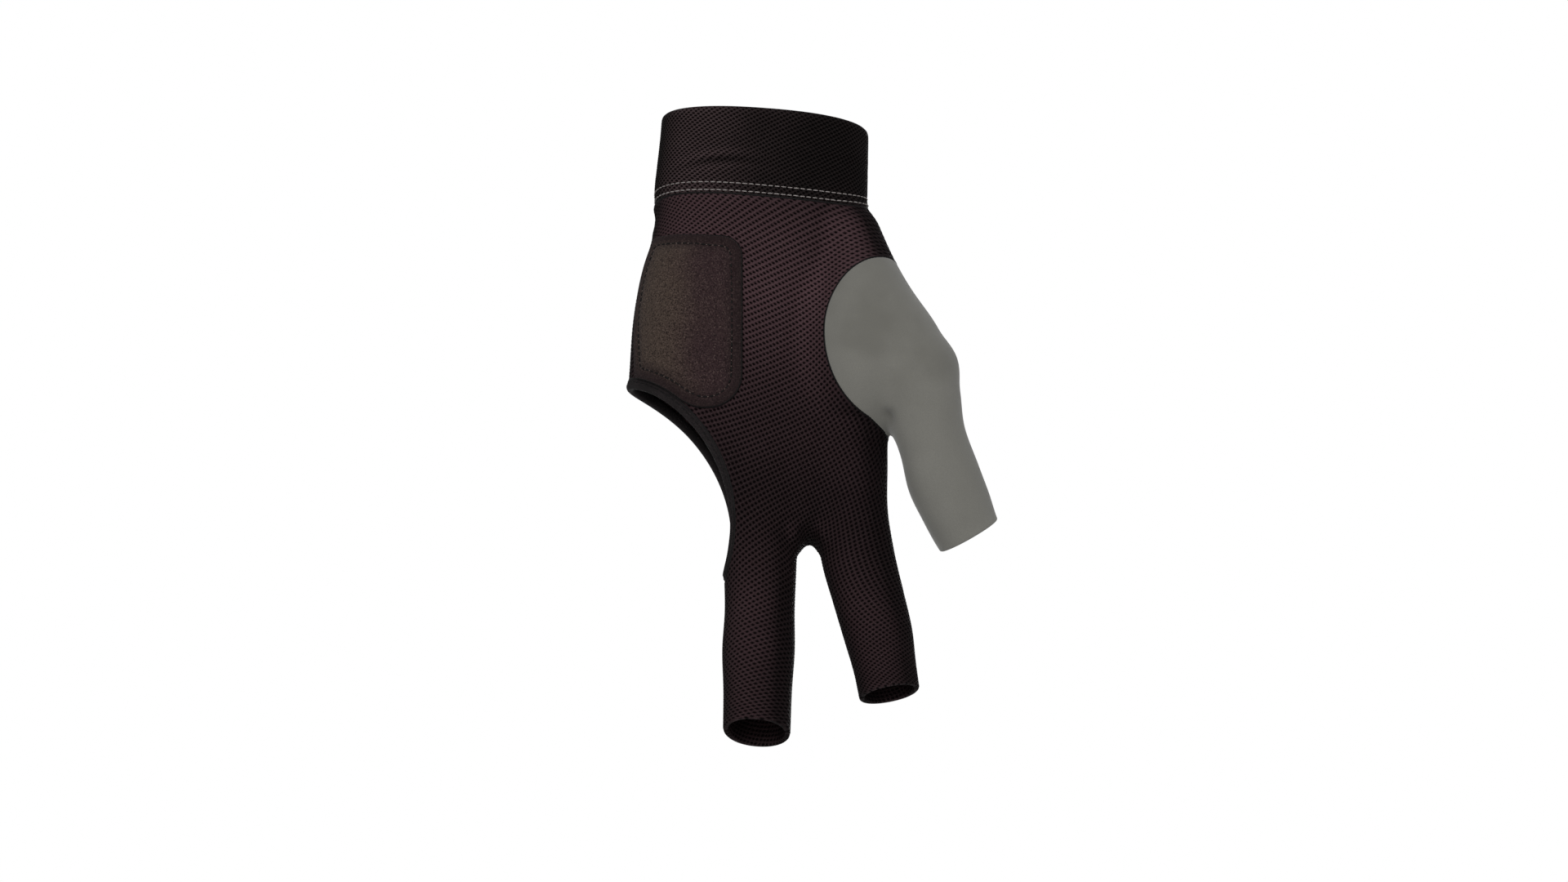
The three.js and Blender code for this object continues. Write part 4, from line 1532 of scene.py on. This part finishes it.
ring_angles = np.linspace(-math.pi, math.pi, ROUND_STEPS + 1)
ring = around(ring_angles, np.full(ROUND_STEPS + 1, CUFF_LEVEL - CUFF_SEAM["level"]))
ring_way = np.concatenate([[0], np.cumsum(np.linalg.norm(np.diff(ring, axis=0), axis=1))])
cuff_round = ring_way[-1]
print(f"The cuff is {cuff_round:.1f} mm round")

# %% The cuff's knit
CUFF_ROWS = {"fall_turns": 121, "rise_turns": -75, "fall_rise": 0.656, "rise_rise": 0.771}
CUFF_PAST = 3.0
CUFF_HEIGHT = 26.5

cuff_waves = np.array([
    (CUFF_ROWS["fall_turns"] / cuff_round, CUFF_ROWS["fall_rise"]),
    (CUFF_ROWS["rise_turns"] / cuff_round, CUFF_ROWS["rise_rise"]),
])
cuff_turn = np.array([CUFF_ROWS["fall_turns"], CUFF_ROWS["rise_turns"]])


def cuff_phase(points):
    """The knit's two phases at any point of the cuff."""
    x, y, z = points.T
    way = np.interp(np.arctan2(x, -y), ring_angles, ring_way)
    return np.stack([way, z - seam_height(x, y)], -1) @ cuff_waves.T


def knitted_cuff():
    """The cuff's surface from the knit's own points, closed where the band meets itself."""
    least, most = -CUFF_PAST, CUFF_HEIGHT + CUFF_PAST
    corners = np.array([(u, v) for u in (0, cuff_round) for v in (least, most)])
    phases = corners @ cuff_waves.T * 3
    from_number = np.floor(phases.min(0)).astype(int)
    to_number = np.ceil(phases.max(0)).astype(int) + 3
    number, wanted, relief = knit_points(from_number, to_number)
    whole = (number / 3) @ np.linalg.inv(cuff_waves).T
    place = wanted @ np.linalg.inv(cuff_waves).T
    turns = np.floor(whole[..., 0] / cuff_round + NEARLY_ZERO).astype(int)
    high = (whole[..., 1] > least) & (whole[..., 1] < most)
    own = high & (turns == 0)
    index = -np.ones(own.shape, int)
    index[own] = np.arange(own.sum())
    key = {tuple(n): i for n, i in zip(number[own].tolist(), index[own].tolist())}
    home = number - turns[..., None] * (3 * cuff_turn)
    for i, j in np.argwhere(high & (turns == 1)).tolist():
        index[i, j] = key.get(tuple(home[i, j].tolist()), -1)
    faces = knit_faces(index)
    angle = np.interp(place[own][:, 0] % cuff_round, ring_way, ring_angles)
    points = around(angle, place[own][:, 1])
    values = {"facing": facing_at(points), "relief": relief[own]}
    return Sheet(points, faces, near=np.full(len(points), FAR), edge=np.zeros(len(points)), **values)


def wrapped(phase, turn):
    """Corner phases brought onto the same turn as their face's first corner."""
    ahead = np.round((phase - phase[:, :1])[..., :1] / turn[0])
    return phase - ahead * turn


# %% Hem, creases, and painted light and shade of the cuff
CUFF_DROP = {"deep": 0.3, "over": 3.5}
STITCH_ROW = {"low": 0.75, "high": 2.95, "half": 0.45, "deep": 0.16}
CUFF_FOLDS = table("x z bend reach tall high", [
    (-13.5, -15.3, -0.011, 9.0, 0.8, -0.55),
    (-11.0, -13.2, -0.009, 11.0, 1.3, 0.45),
    (-10.0, -17.6, -0.006, 10.0, 1.1, 0.35),
    (16.0, -12.5, 0.006, 9.0, 1.2, 0.3),
    (19.0, -15.2, 0.006, 8.0, 0.9, -0.3),
])
# Painted light across the cuff: lit at its left, painted shade at its right.
CUFF_LIGHT = table("x share", [(-40, 0.6), (-25, 0.56), (0, 0.12), (30, 0.04), (40, 0.04)])
# Painted light on the creases' crests and painted shade in their hollows.
FOLD_SHADE = {"most": 0.5, "gain": 1.3}


def above_seam(points):
    return points[:, 2] - seam_height(points[:, 0], points[:, 1])


def row_groove(points):
    """The two rows of topstitching pull the cuff's hem in."""
    high = above_seam(points)
    away = np.stack([high - STITCH_ROW["low"], high - STITCH_ROW["high"]]) / STITCH_ROW["half"]
    return -STITCH_ROW["deep"] * np.exp(-away * away).sum(0)


def cuff_drop(points):
    """The doubled band thins out towards its seam."""
    return -CUFF_DROP["deep"] * np.exp(-(above_seam(points) / CUFF_DROP["over"]) ** 2)


def cuff_folds(points):
    """Soft creases across the front of the cuff."""
    total = np.zeros(len(points))
    for x, z, bend, reach, tall, high in zip(*CUFF_FOLDS.values()):
        aside = points[:, 0] - x
        up = points[:, 2] - z - bend * aside * aside
        total += high * np.exp(-(aside / reach) ** 2 - (up / tall) ** 2)
    return np.where(points[:, 1] < 0, total, 0)


def cuff_relief(points):
    """All that shapes the cuff apart from its dimples."""
    return row_groove(points) + cuff_drop(points) + cuff_folds(points)


def cuff_light_and_shade(points):
    """Painted light and shade of the cuff: lighter on the crests of its creases, painted shade between
    them.
    """
    most = FOLD_SHADE["most"]
    on_crest = np.clip(cuff_folds(points), -most, most)
    return light_and_wear_at(points, CUFF_LIGHT, 0) * (1 + on_crest * FOLD_SHADE["gain"])


# %% Cuff
top = trimmed(knitted_cuff(), cuff_borders, TOUCH["knit"])
relief = faded_relief(top) + cuff_relief(top.points)
points, faces = wall(top, lining(cuff_borders), relief=relief, **CUFF_CLOTH)
uv = wrapped(cuff_phase(points)[faces], cuff_turn).reshape(-1, 2)
cuff = new_piece("wrist_cuff_cloth", points, faces, uv)
mark(cuff, "wear_and_shade", cuff_light_and_shade(points))
dress(cuff, "wrist_cuff", cuff_mesh)

# %% [markdown]
# ## The thumb panel
# The lobe and the whole thumb sleeve are one piece of smooth, thinner stretch cloth, sewn to the
# mesh along the lobe. It has no pattern that shows at this distance, so it is a plain fine sheet
# with a soft hollow, darkened by painted shade, where it is pulled into the fork of the thumb.

# %% Thumb panel
# The dent in the fork, and the painted shade in it.
FORK = {"at": (35.0, -17.7, -91.2), "reach": 1.9, "deep": 1.2, "fork_shade": 0.75}


def hollow(points, spot):
    """A soft dent at one spot, as a height below the cloth."""
    away = np.linalg.norm(points - spot["at"], axis=-1) / spot["reach"]
    return -spot["deep"] * np.exp(-away * away)


top = trimmed(fine, thumb_borders, TOUCH["fine"])
points, faces = wall(top, lining(thumb_borders), relief=hollow(top.points, FORK), **THUMB_CLOTH)
thumb_cloth = new_piece("thumb_panel_cloth", points, faces)
# Painted shade, darkest in the middle of the fork's dent.
mark(thumb_cloth, "fork_shade", -hollow(points, FORK) * FORK["fork_shade"] / FORK["deep"])
dress(thumb_cloth, "thumb_panel", stretch_cloth)

# %% [markdown]
# ## The binding
# A raw edge of knit would run, so the side opening is bound: a narrow tape is folded over the edge
# and stitched through. It is one closed band with a bulged section. Its free edge is the round
# fold, and its width follows the distance to the line where the panels begin.

# %% Rings on a border
def along_ring(ring, step):
    """A closed ring of points made again at an even step."""
    closed = np.concatenate([ring, ring[:1]])
    way = np.concatenate([[0], np.cumsum(np.linalg.norm(np.diff(closed, axis=0), axis=1))])
    count = int(way[-1] / step)
    at = np.arange(count) * way[-1] / count
    return np.stack([np.interp(at, way, closed[:, a]) for a in AXES], -1)


def border_ring(border):
    """The ring of surface points that lies on a border."""
    sheet = cut(fine, border, touch=TOUCH["fine"])
    rings = loops(sheet.faces, len(sheet.points))
    off = lambda ring: np.abs(border(sheet.points[ring])).mean()
    return sheet.points[min(rings, key=off)]


def longest_ring(sheet):
    """The longest open edge of a sheet."""
    return sheet.points[max(loops(sheet.faces, len(sheet.points)), key=len)]


def walk(points, border, steps=4):
    """Moves points along the surface until they are on a border."""
    for _ in range(steps):
        facing = facing_at(points)
        way = slope(border, points)
        way -= facing * (way * facing).sum(-1, keepdims=True)
        gain = np.maximum((way * way).sum(-1), LEAST_GAIN ** 2)
        points = settle(points - way * (border(points) / gain)[:, None])
    return points


# %% The tape's two edges
BINDING = {"out": 0.55, "depth": 2.0, "step": 0.8, "bulge": 2.6, "points": 26}

free_edge = along_ring(border_ring(clear_of_opening), BINDING["step"])
sewn_edge = walk(free_edge, lambda p: clear_of_binding(p) + SEAM_GAP / 2)
tape_way = sewn_edge - free_edge
tape_width = np.linalg.norm(tape_way, axis=1)
print(f"The tape is {tape_width.min():.1f} to {tape_width.max():.1f} mm wide")

# %% Binding
TAPE_GROOVE = {"from_edge": 0.95, "half": 0.3, "deep": 0.36}


def bulged(wave):
    """Makes a circle's wave squarer, as the section of folded tape is."""
    return np.sign(wave) * np.abs(wave) ** (2 / BINDING["bulge"])


def tape_points():
    """The points of the tape, one closed row along the opening for each point of its section."""
    turn = np.arange(BINDING["points"]) * 2 * math.pi / BINDING["points"]
    mid = (BINDING["out"] - BINDING["depth"]) / 2
    half = (BINDING["out"] + BINDING["depth"]) / 2
    rows = []
    for share, lift in zip((1 - bulged(np.cos(turn))) / 2, bulged(np.sin(turn))):
        base = settle(free_edge + tape_way * share)
        away = ((1 - share) * tape_width - TAPE_GROOVE["from_edge"]) / TAPE_GROOVE["half"]
        groove = TAPE_GROOVE["deep"] * np.exp(-away * away) * (lift > 0)
        rows.append(base + facing_at(base) * (mid + half * lift - groove)[:, None])
    return np.concatenate(rows)


count = len(free_edge)
here = np.arange(BINDING["points"])[:, None] * count
next_row = np.roll(here, -1, 0)
now, after = np.arange(count), np.roll(np.arange(count), -1)
faces = np.stack([here + now, here + after, next_row + after, next_row + now], -1).reshape(-1, 4)
binding = new_piece("opening_binding_tape", tape_points(), faces)
dress(binding, "opening_binding", binding_tape)

# %% [markdown]
# ## The patch
# The heel of the palm rubs most on the table, so a suede-like patch is sewn over the mesh there. It
# is padded slightly by its own thickness: the edge is round, a row of stitches pulls a groove into
# it, and the middle stands a little higher than the rim outside the groove. A flat plate with
# bumped stitches would do from afar, but its edge would show at the side of the glove.

# %% Patch
PATCH_CLOTH = {"out": 1.1, "depth": -0.1}
PATCH_EDGE = 0.5
GROOVE = {"in": 3.0, "half": 0.45, "deep": 0.32}
PUFF = {"high": 0.25, "over": 6.0}
PATCH_WEAR = {"from": 1.0, "over": 4.5}
PATCH_FROM_SEAM = 7.0


def clear_of_side_seam(p):
    """In front of the side seams by more than a given distance."""
    return palm_side(p) + PATCH_FROM_SEAM


patch_borders = [(clear_of_side_seam, PATCH_EDGE), (on_patch, PATCH_EDGE)]


def patch_relief(sheet):
    """The groove under the stitches, and the swelling inside it."""
    away = sheet.values["near"] + PATCH_EDGE
    groove = np.exp(-((away - GROOVE["in"]) / GROOVE["half"]) ** 2)
    share = np.clip((away - GROOVE["in"]) / PUFF["over"], 0, 1)
    return PUFF["high"] * share * (2 - share) - GROOVE["deep"] * groove


near_patch = clipped(fine, patch_borders)
top = trimmed(near_patch, patch_borders, TOUCH["fine"])
points, faces = wall(top, lining(patch_borders), relief=patch_relief(top), **PATCH_CLOTH)
patch = new_piece("palm_patch_cloth", points, faces)
from_edge = np.min([-border(points) for border, _ in patch_borders], axis=0)
mark(patch, "wear_and_shade", np.clip((from_edge - PATCH_WEAR["from"]) / PATCH_WEAR["over"], 0, 1))
dress(patch, "palm_patch", suede)

# %% [markdown]
# ## The stitching
# Two rows of light thread hold the cuff's seam flat, a dark row holds the patch and another one
# the binding. A stitch is a short thread that comes up, lies on the cloth and dives again. Placing
# them one by one would take hours, and a bump would have no thickness, so Geometry Nodes put one
# modelled stitch at even steps along a path, turned along it and standing up from the cloth.

# %% Parts that both trees of thread share
def path_tree(name, made, sizes):
    """A tree that works along a path, with a named input for each size, and its inputs."""
    tree = bpy.data.node_groups.new(name, "GeometryNodeTree")
    tree.is_modifier = True
    for label, kind in {"Path": "Geometry", **sizes, "Material": "Material"}.items():
        tree.interface.new_socket(label, in_out="INPUT", socket_type="NodeSocket" + kind)
    tree.interface.new_socket(made, in_out="OUTPUT", socket_type="NodeSocketGeometry")
    return tree, tree.nodes.new("NodeGroupInput").outputs


def even_path(tree, given, step):
    """The path as a curve with points at an even step."""
    path = node(tree, "GeometryNodeMeshToCurve", Mesh=given["Path"]).outputs[0]
    even = {"mode": "LENGTH"}
    return node(tree, "GeometryNodeResampleCurve", even, Curve=path, Length=step).outputs[0]


def tube(tree, curve, radius, scale, sides):
    """A closed, smooth tube along a curve."""
    ring = node(tree, "GeometryNodeCurvePrimitiveCircle", Resolution=sides, Radius=radius)
    made = node(tree, "GeometryNodeCurveToMesh", Curve=curve, Scale=scale, Fill_Caps=True)
    tree.links.new(ring.outputs["Curve"], made.inputs["Profile Curve"])
    return node(tree, "GeometryNodeSetShadeSmooth", Geometry=made.outputs[0]).outputs[0]


def finished(tree, given, shape):
    """Ends a tree with a real mesh in the given material."""
    real = node(tree, "GeometryNodeRealizeInstances", Geometry=shape).outputs[0]
    dressed = node(tree, "GeometryNodeSetMaterial", Geometry=real, Material=given["Material"])
    tree.links.new(dressed.outputs[0], tree.nodes.new("NodeGroupOutput").inputs[0])
    return tree


# %% Geometry Nodes for a row of stitches
STITCH = {"steps": 7, "sides": 8, "wobble": 0.05, "smallest": 0.92, "largest": 1.06}
STITCH_END = {"blunt": 1.08, "round": 4.0}


def one_stitch(tree, given):
    """A thread that comes up, lies on the cloth and dives again, thinner at both ends."""
    half = maths(tree, "MULTIPLY", given["Length"], 0.5)
    start = node(tree, "ShaderNodeCombineXYZ", X=maths(tree, "MULTIPLY", half, -1.0))
    top = node(tree, "ShaderNodeCombineXYZ", Z=maths(tree, "MULTIPLY", given["Arch"], 2.0))
    end = node(tree, "ShaderNodeCombineXYZ", X=half)
    line = node(tree, "GeometryNodeCurveQuadraticBezier", Resolution=STITCH["steps"])
    for socket, place in (("Start", start), ("Middle", top), ("End", end)):
        tree.links.new(place.outputs[0], line.inputs[socket])
    share = node(tree, "GeometryNodeSplineParameter").outputs["Factor"]
    from_middle = maths(tree, "ABSOLUTE", maths(tree, "MULTIPLY_ADD", share, 2.0, -1.0))
    gone = maths(tree, "POWER", from_middle, STITCH_END["round"])
    width = maths(tree, "SQRT", maths(tree, "SUBTRACT", STITCH_END["blunt"], gone))
    return tube(tree, line.outputs[0], given["Thread"], width, STITCH["sides"])


def stitch_tree():
    """Lays stitches along a path of edges whose points know which way is up."""
    kinds = {label: "Float" for label in ("Pitch", "Length", "Thread", "Arch")}
    tree, given = path_tree("stitch_row", "Stitches", {**kinds, "Seed": "Int"})
    stitch = one_stitch(tree, given)
    places = even_path(tree, given, given["Pitch"])
    least, most = (-STITCH["wobble"],) * 3, (STITCH["wobble"],) * 3
    vector, single = {"data_type": "FLOAT_VECTOR"}, {"data_type": "FLOAT"}
    wobble = node(tree, "FunctionNodeRandomValue", vector, i0=least, i1=most, Seed=given["Seed"])
    tangent = node(tree, "GeometryNodeInputTangent").outputs[0]
    along = node(tree, "ShaderNodeVectorMath", {"operation": "ADD"}, i0=tangent, i1=wobble.outputs[0])
    up = node(tree, "GeometryNodeInputNamedAttribute", vector, Name="up")
    axes = {"primary_axis": "X", "secondary_axis": "Z"}
    turn = node(tree, "FunctionNodeAxesToRotation", axes)
    tree.links.new(along.outputs[0], turn.inputs["Primary Axis"])
    tree.links.new(up.outputs[0], turn.inputs["Secondary Axis"])
    least, most = STITCH["smallest"], STITCH["largest"]
    size = node(tree, "FunctionNodeRandomValue", single, i2=least, i3=most, Seed=given["Seed"])
    placed = node(tree, "GeometryNodeInstanceOnPoints", Points=places, Instance=stitch)
    tree.links.new(turn.outputs[0], placed.inputs["Rotation"])
    tree.links.new(size.outputs[1], placed.inputs["Scale"])
    return finished(tree, given, placed.outputs[0])


STITCHES = stitch_tree()
print("Tree for stitches:", len(STITCHES.nodes), "nodes")

# %% Geometry Nodes for a thread along a path
THREAD_SIDES = 6
BEAD_SWELL = 0.12


def thread_tree():
    """Runs one thread, slightly beaded by its twist, along a path of edges."""
    kinds = {label: "Float" for label in ("Step", "Thread", "Bead")}
    tree, given = path_tree("seam_thread_and_shade", "Threads", kinds)
    even = even_path(tree, given, given["Step"])
    way = node(tree, "GeometryNodeSplineParameter").outputs["Length"]
    turns = maths(tree, "DIVIDE", way, given["Bead"])
    swell = maths(tree, "MULTIPLY_ADD", maths(tree, "SINE", turns), BEAD_SWELL, 1.0)
    return finished(tree, given, tube(tree, even, given["Thread"], swell, THREAD_SIDES))


THREADS = thread_tree()
print("Tree for threads:", len(THREADS.nodes), "nodes")

# %% Laying thread along paths
def path_mesh(name, paths):
    """Edges along all the paths, in metres, with the up directions as an attribute."""
    points = np.concatenate([path for path, _, _ in paths]) * MM
    ups = np.concatenate([up for _, up, _ in paths]).astype(np.float32)
    edges, start = [], 0
    for path, _, closed in paths:
        here = np.arange(len(path)) + start
        steps = np.stack([here, np.roll(here, -1)], -1).tolist()
        edges += steps if closed else steps[:-1]
        start += len(path)
    mesh = bpy.data.meshes.new(name)
    mesh.from_pydata(points.tolist(), edges, [])
    mesh.attributes.new("up", "FLOAT_VECTOR", "POINT").data.foreach_set("vector", ups.ravel())
    return mesh


def sewn(name, material, tree, sizes, paths):
    """One piece made by a tree along paths: their points, up directions and whether they close."""
    row = bpy.data.objects.new(name + "_path", path_mesh(name, paths))
    bpy.context.collection.objects.link(row)
    modifier = row.modifiers.new("sewing", "NODES")
    modifier.node_group = tree
    inputs = [item for item in tree.interface.items_tree if item.in_out == "INPUT"]
    socket = {item.name: item.identifier for item in inputs}
    for label, value in sizes.items():
        modifier[socket[label]] = value * MM if isinstance(value, float) else value
    modifier[socket["Material"]] = material
    seen = row.evaluated_get(bpy.context.evaluated_depsgraph_get())
    made = bpy.data.meshes.new_from_object(seen)
    made.name = name
    bpy.data.objects.remove(row)
    piece = bpy.data.objects.new(name, made)
    bpy.context.collection.objects.link(piece)
    if not made.materials:
        made.materials.append(material)
    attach(piece, "root")
    print(name, "has", len(made.polygons), "faces")
    return piece


# %% Rows on the cuff
PATH_STEP = 1.0
ROW_LIFT = 0.02
TOPSTITCH = {"Pitch": 1.87, "Length": 1.5, "Thread": 0.16, "Arch": 0.14, "Seed": 3}


def lifted(points, height, closed=True):
    """A path raised above the form, its up directions, and whether it closes."""
    up = facing_at(points)
    return points + up * np.reshape(height + ROW_LIFT, (-1, 1)), up, closed


first_row = along_ring(border_ring(below_cuff), PATH_STEP)
cuff_paths = []
for name in ("low", "high"):
    row = walk(first_row, lambda p: below_cuff(p) - STITCH_ROW[name])
    cuff_paths.append(lifted(row, CUFF_CLOTH["out"] + cuff_relief(row)))
topstitch = sewn("cuff_topstitch", light_thread, STITCHES, TOPSTITCH, cuff_paths)

# %% Row on the patch
# Between two stitches a short pale stitch is a painted glint, where the dark thread turns down into the
# suede.
PATCH_SEWING = {"Pitch": 1.8, "Length": 1.3, "Thread": 0.25, "Arch": 0.12, "Seed": 5}
PATCH_GLINTS = {"Pitch": 1.8, "Length": 0.4, "Thread": 0.1, "Arch": 0.1, "Seed": 8}

inner_patch = trimmed(near_patch, patch_borders, TOUCH["fine"], GROOVE["in"] - PATCH_EDGE)
patch_row = along_ring(longest_ring(inner_patch), PATH_STEP)
path, up, closed = lifted(patch_row, PATCH_CLOTH["out"] - GROOVE["deep"])
turns = (np.roll(path, 1, 0), np.roll(up, 1, 0), closed)
patch_sewing = sewn(
    "patch_stitch", dark_thread, STITCHES, PATCH_SEWING, [(path, up, closed)]
)
patch_glints = sewn(
    "patch_stitch_glints", glint_thread, STITCHES, PATCH_GLINTS, [turns]
)

# %% Row on the binding
BINDING_SEWING = {"Pitch": 2.0, "Length": 1.5, "Thread": 0.16, "Arch": 0.05, "Seed": 7}
TAPE_TOP = 0.97

tape_share = 1 - TAPE_GROOVE["from_edge"] / np.maximum(tape_width, 2 * TAPE_GROOVE["from_edge"])
tape_row = settle(free_edge + tape_way * tape_share[:, None])
tape_path = lifted(tape_row, BINDING["out"] * TAPE_TOP - TAPE_GROOVE["deep"])
tape_sewing = sewn(
    "binding_stitch", dark_thread, STITCHES, BINDING_SEWING, [tape_path]
)

# %% [markdown]
# ## The thread in the seams
# The panels are overlocked edge to edge, and between their rolled edges the black thread of the
# seam shows as a thin line, most clearly round the grey lobe. The thread is thick enough to stand
# for the shade in the seam as well, so its line is partly painted shade. It also keeps the light
# from shining through the seam. The seams are where the borders' fields are zero, so their paths
# come from the cut sheets' own rings.

# %% Thread in the seams
SEAM_THREAD_AND_SHADE = {"Step": 0.5, "Thread": 0.42, "Bead": 0.16}
THREAD_DEPTH = 0.34
RUN_LEAST = 6
RUN_REACH = 0.35


def runs_along(ring, border, inset):
    """The stretches of a closed ring that keep to one border, in order."""
    on = np.abs(border(ring) + inset) < RUN_REACH
    start = int(np.argmin(on))
    ring, on = np.roll(ring, -start, 0), np.roll(on, -start)
    turns = np.flatnonzero(np.diff(on.astype(int))) + 1
    parts = zip(np.split(ring, turns), np.split(on, turns))
    return [part for part, mask in parts if mask[0] and len(part) > RUN_LEAST]


seam_paths = []
for ring in loops(palm_sheet.faces, len(palm_sheet.points)):
    for run in runs_along(palm_sheet.points[ring], palm_side, SEAM_EDGE):
        seam_paths.append(lifted(walk(run[::2], palm_side), -THREAD_DEPTH, closed=False))
print("Runs of side seam:", len(seam_paths))
for border in (on_thumb, below_cuff, clear_of_binding):
    ring = walk(along_ring(border_ring(border), PATH_STEP), border)
    seam_paths.append(lifted(ring, -THREAD_DEPTH))
# Partly painted shade: the thick black thread also stands for the shade in the seams.
seams = sewn("seam_thread_and_shade", dark_thread, THREADS, SEAM_THREAD_AND_SHADE, seam_paths)

# %% Thread at the foot of the patch, which partly stands for the shadow along its edge
# A black thread at the patch's foot, which also stands for the painted shadow along its edge.
EDGE_THREAD_AND_SHADE = {"Step": 0.5, "Thread": 0.34, "Bead": 0.16}

patch_outline = trimmed(near_patch, patch_borders, TOUCH["fine"], -PATCH_EDGE - SEAM_GAP)
edge_row = along_ring(longest_ring(patch_outline), PATH_STEP)
edge_path = lifted(edge_row, EDGE_THREAD_AND_SHADE["Thread"] / 2)
patch_edge = sewn(
    "patch_edge_thread_and_shade", dark_thread, THREADS, EDGE_THREAD_AND_SHADE, [edge_path]
)

# %% [markdown]
# ## The cloth's flat cuts
# Every panel is a sheet that was cut flat and is stretched over the form. The sizes of the palm's
# and the back's cuts come from the sheets laid flat above, and are printed there.

# %% [markdown]
# ## Camera and light
# The camera looks slightly up at the palm side from about a metre away, with a long lens. The
# light is flat, as in a picture for a shop: a soft white surround, a lamp on each side in front,
# and one behind for the back. The floor is far below, so that no shadow falls on it, and glows a
# little for the camera alone, which keeps it white from every side.

# %% Camera
CAMERA = {"at": (0.00576, -1.045, -0.3166), "lens": 85, "sensor": 36, "tilt": 102}
camera_data = bpy.data.cameras.new("camera")
camera_data.lens = CAMERA["lens"]
camera_data.sensor_width = CAMERA["sensor"]
camera = bpy.data.objects.new("camera", camera_data)
camera.location = CAMERA["at"]
camera.rotation_euler = (math.radians(CAMERA["tilt"]), 0, 0)
bpy.context.collection.objects.link(camera)
bpy.context.scene.camera = camera
bpy.context.scene.view_settings.view_transform = "Standard"
print("Camera lens:", camera_data.lens, "mm")

# %% Surround
WORLD = {"seen": 1.0, "soft_light": 0.4}
world = bpy.data.worlds.new("world")
world.use_nodes = True
tree = world.node_tree
seen = node(tree, "ShaderNodeLightPath").outputs["Is Camera Ray"]
strength = step_between(tree, seen, 0.0, 1.0, WORLD["soft_light"], WORLD["seen"])
tree.nodes["Background"].inputs["Color"].default_value = (1, 1, 1, 1)
tree.links.new(strength, tree.nodes["Background"].inputs["Strength"])
bpy.context.scene.world = world
print("Surround light:", WORLD["soft_light"])

# %% Lamps
LIGHTS = {
    "front": {"at": (-0.45, -0.86, 0.2), "size": 0.45, "watts": 3.9},
    "side": {"at": (0.5, -0.84, 0.05), "size": 0.45, "watts": 2.4},
    "rear": {"at": (0.1, 0.97, 0.1), "size": 0.6, "watts": 5.0},
}
LIT_POINT = (0, 0, -0.08)
for name, light in LIGHTS.items():
    light_data = bpy.data.lights.new(name, "AREA")
    light_data.size = light["size"]
    light_data.energy = light["watts"]
    lamp = bpy.data.objects.new(name, light_data)
    lamp.location = light["at"]
    lamp.rotation_euler = (Vector(LIT_POINT) - lamp.location).to_track_quat("-Z", "Y").to_euler()
    bpy.context.collection.objects.link(lamp)
print("Lamps:", ", ".join(LIGHTS))

# %% Floor
FLOOR = {"level": -600.0, "half": 3000.0, "grey": 0.8, "glow": 0.42}
CORNERS = ((-1, -1), (1, -1), (1, 1), (-1, 1))
floor_material, floor_tree, floor_shader = new_material("floor", roughness=0.9, gloss=0.2)
floor_shader.inputs["Base Color"].default_value = (FLOOR["grey"],) * 3 + (1,)
floor_shader.inputs["Emission Color"].default_value = (1, 1, 1, 1)
seen = node(floor_tree, "ShaderNodeLightPath").outputs["Is Camera Ray"]
glow = maths(floor_tree, "MULTIPLY", seen, FLOOR["glow"])
floor_tree.links.new(glow, floor_shader.inputs["Emission Strength"])
floor_points = np.array([(x * FLOOR["half"], y * FLOOR["half"], FLOOR["level"]) for x, y in CORNERS])
floor = new_piece("floor", floor_points, np.array([range(len(CORNERS))]))
floor.data.materials.append(floor_material)
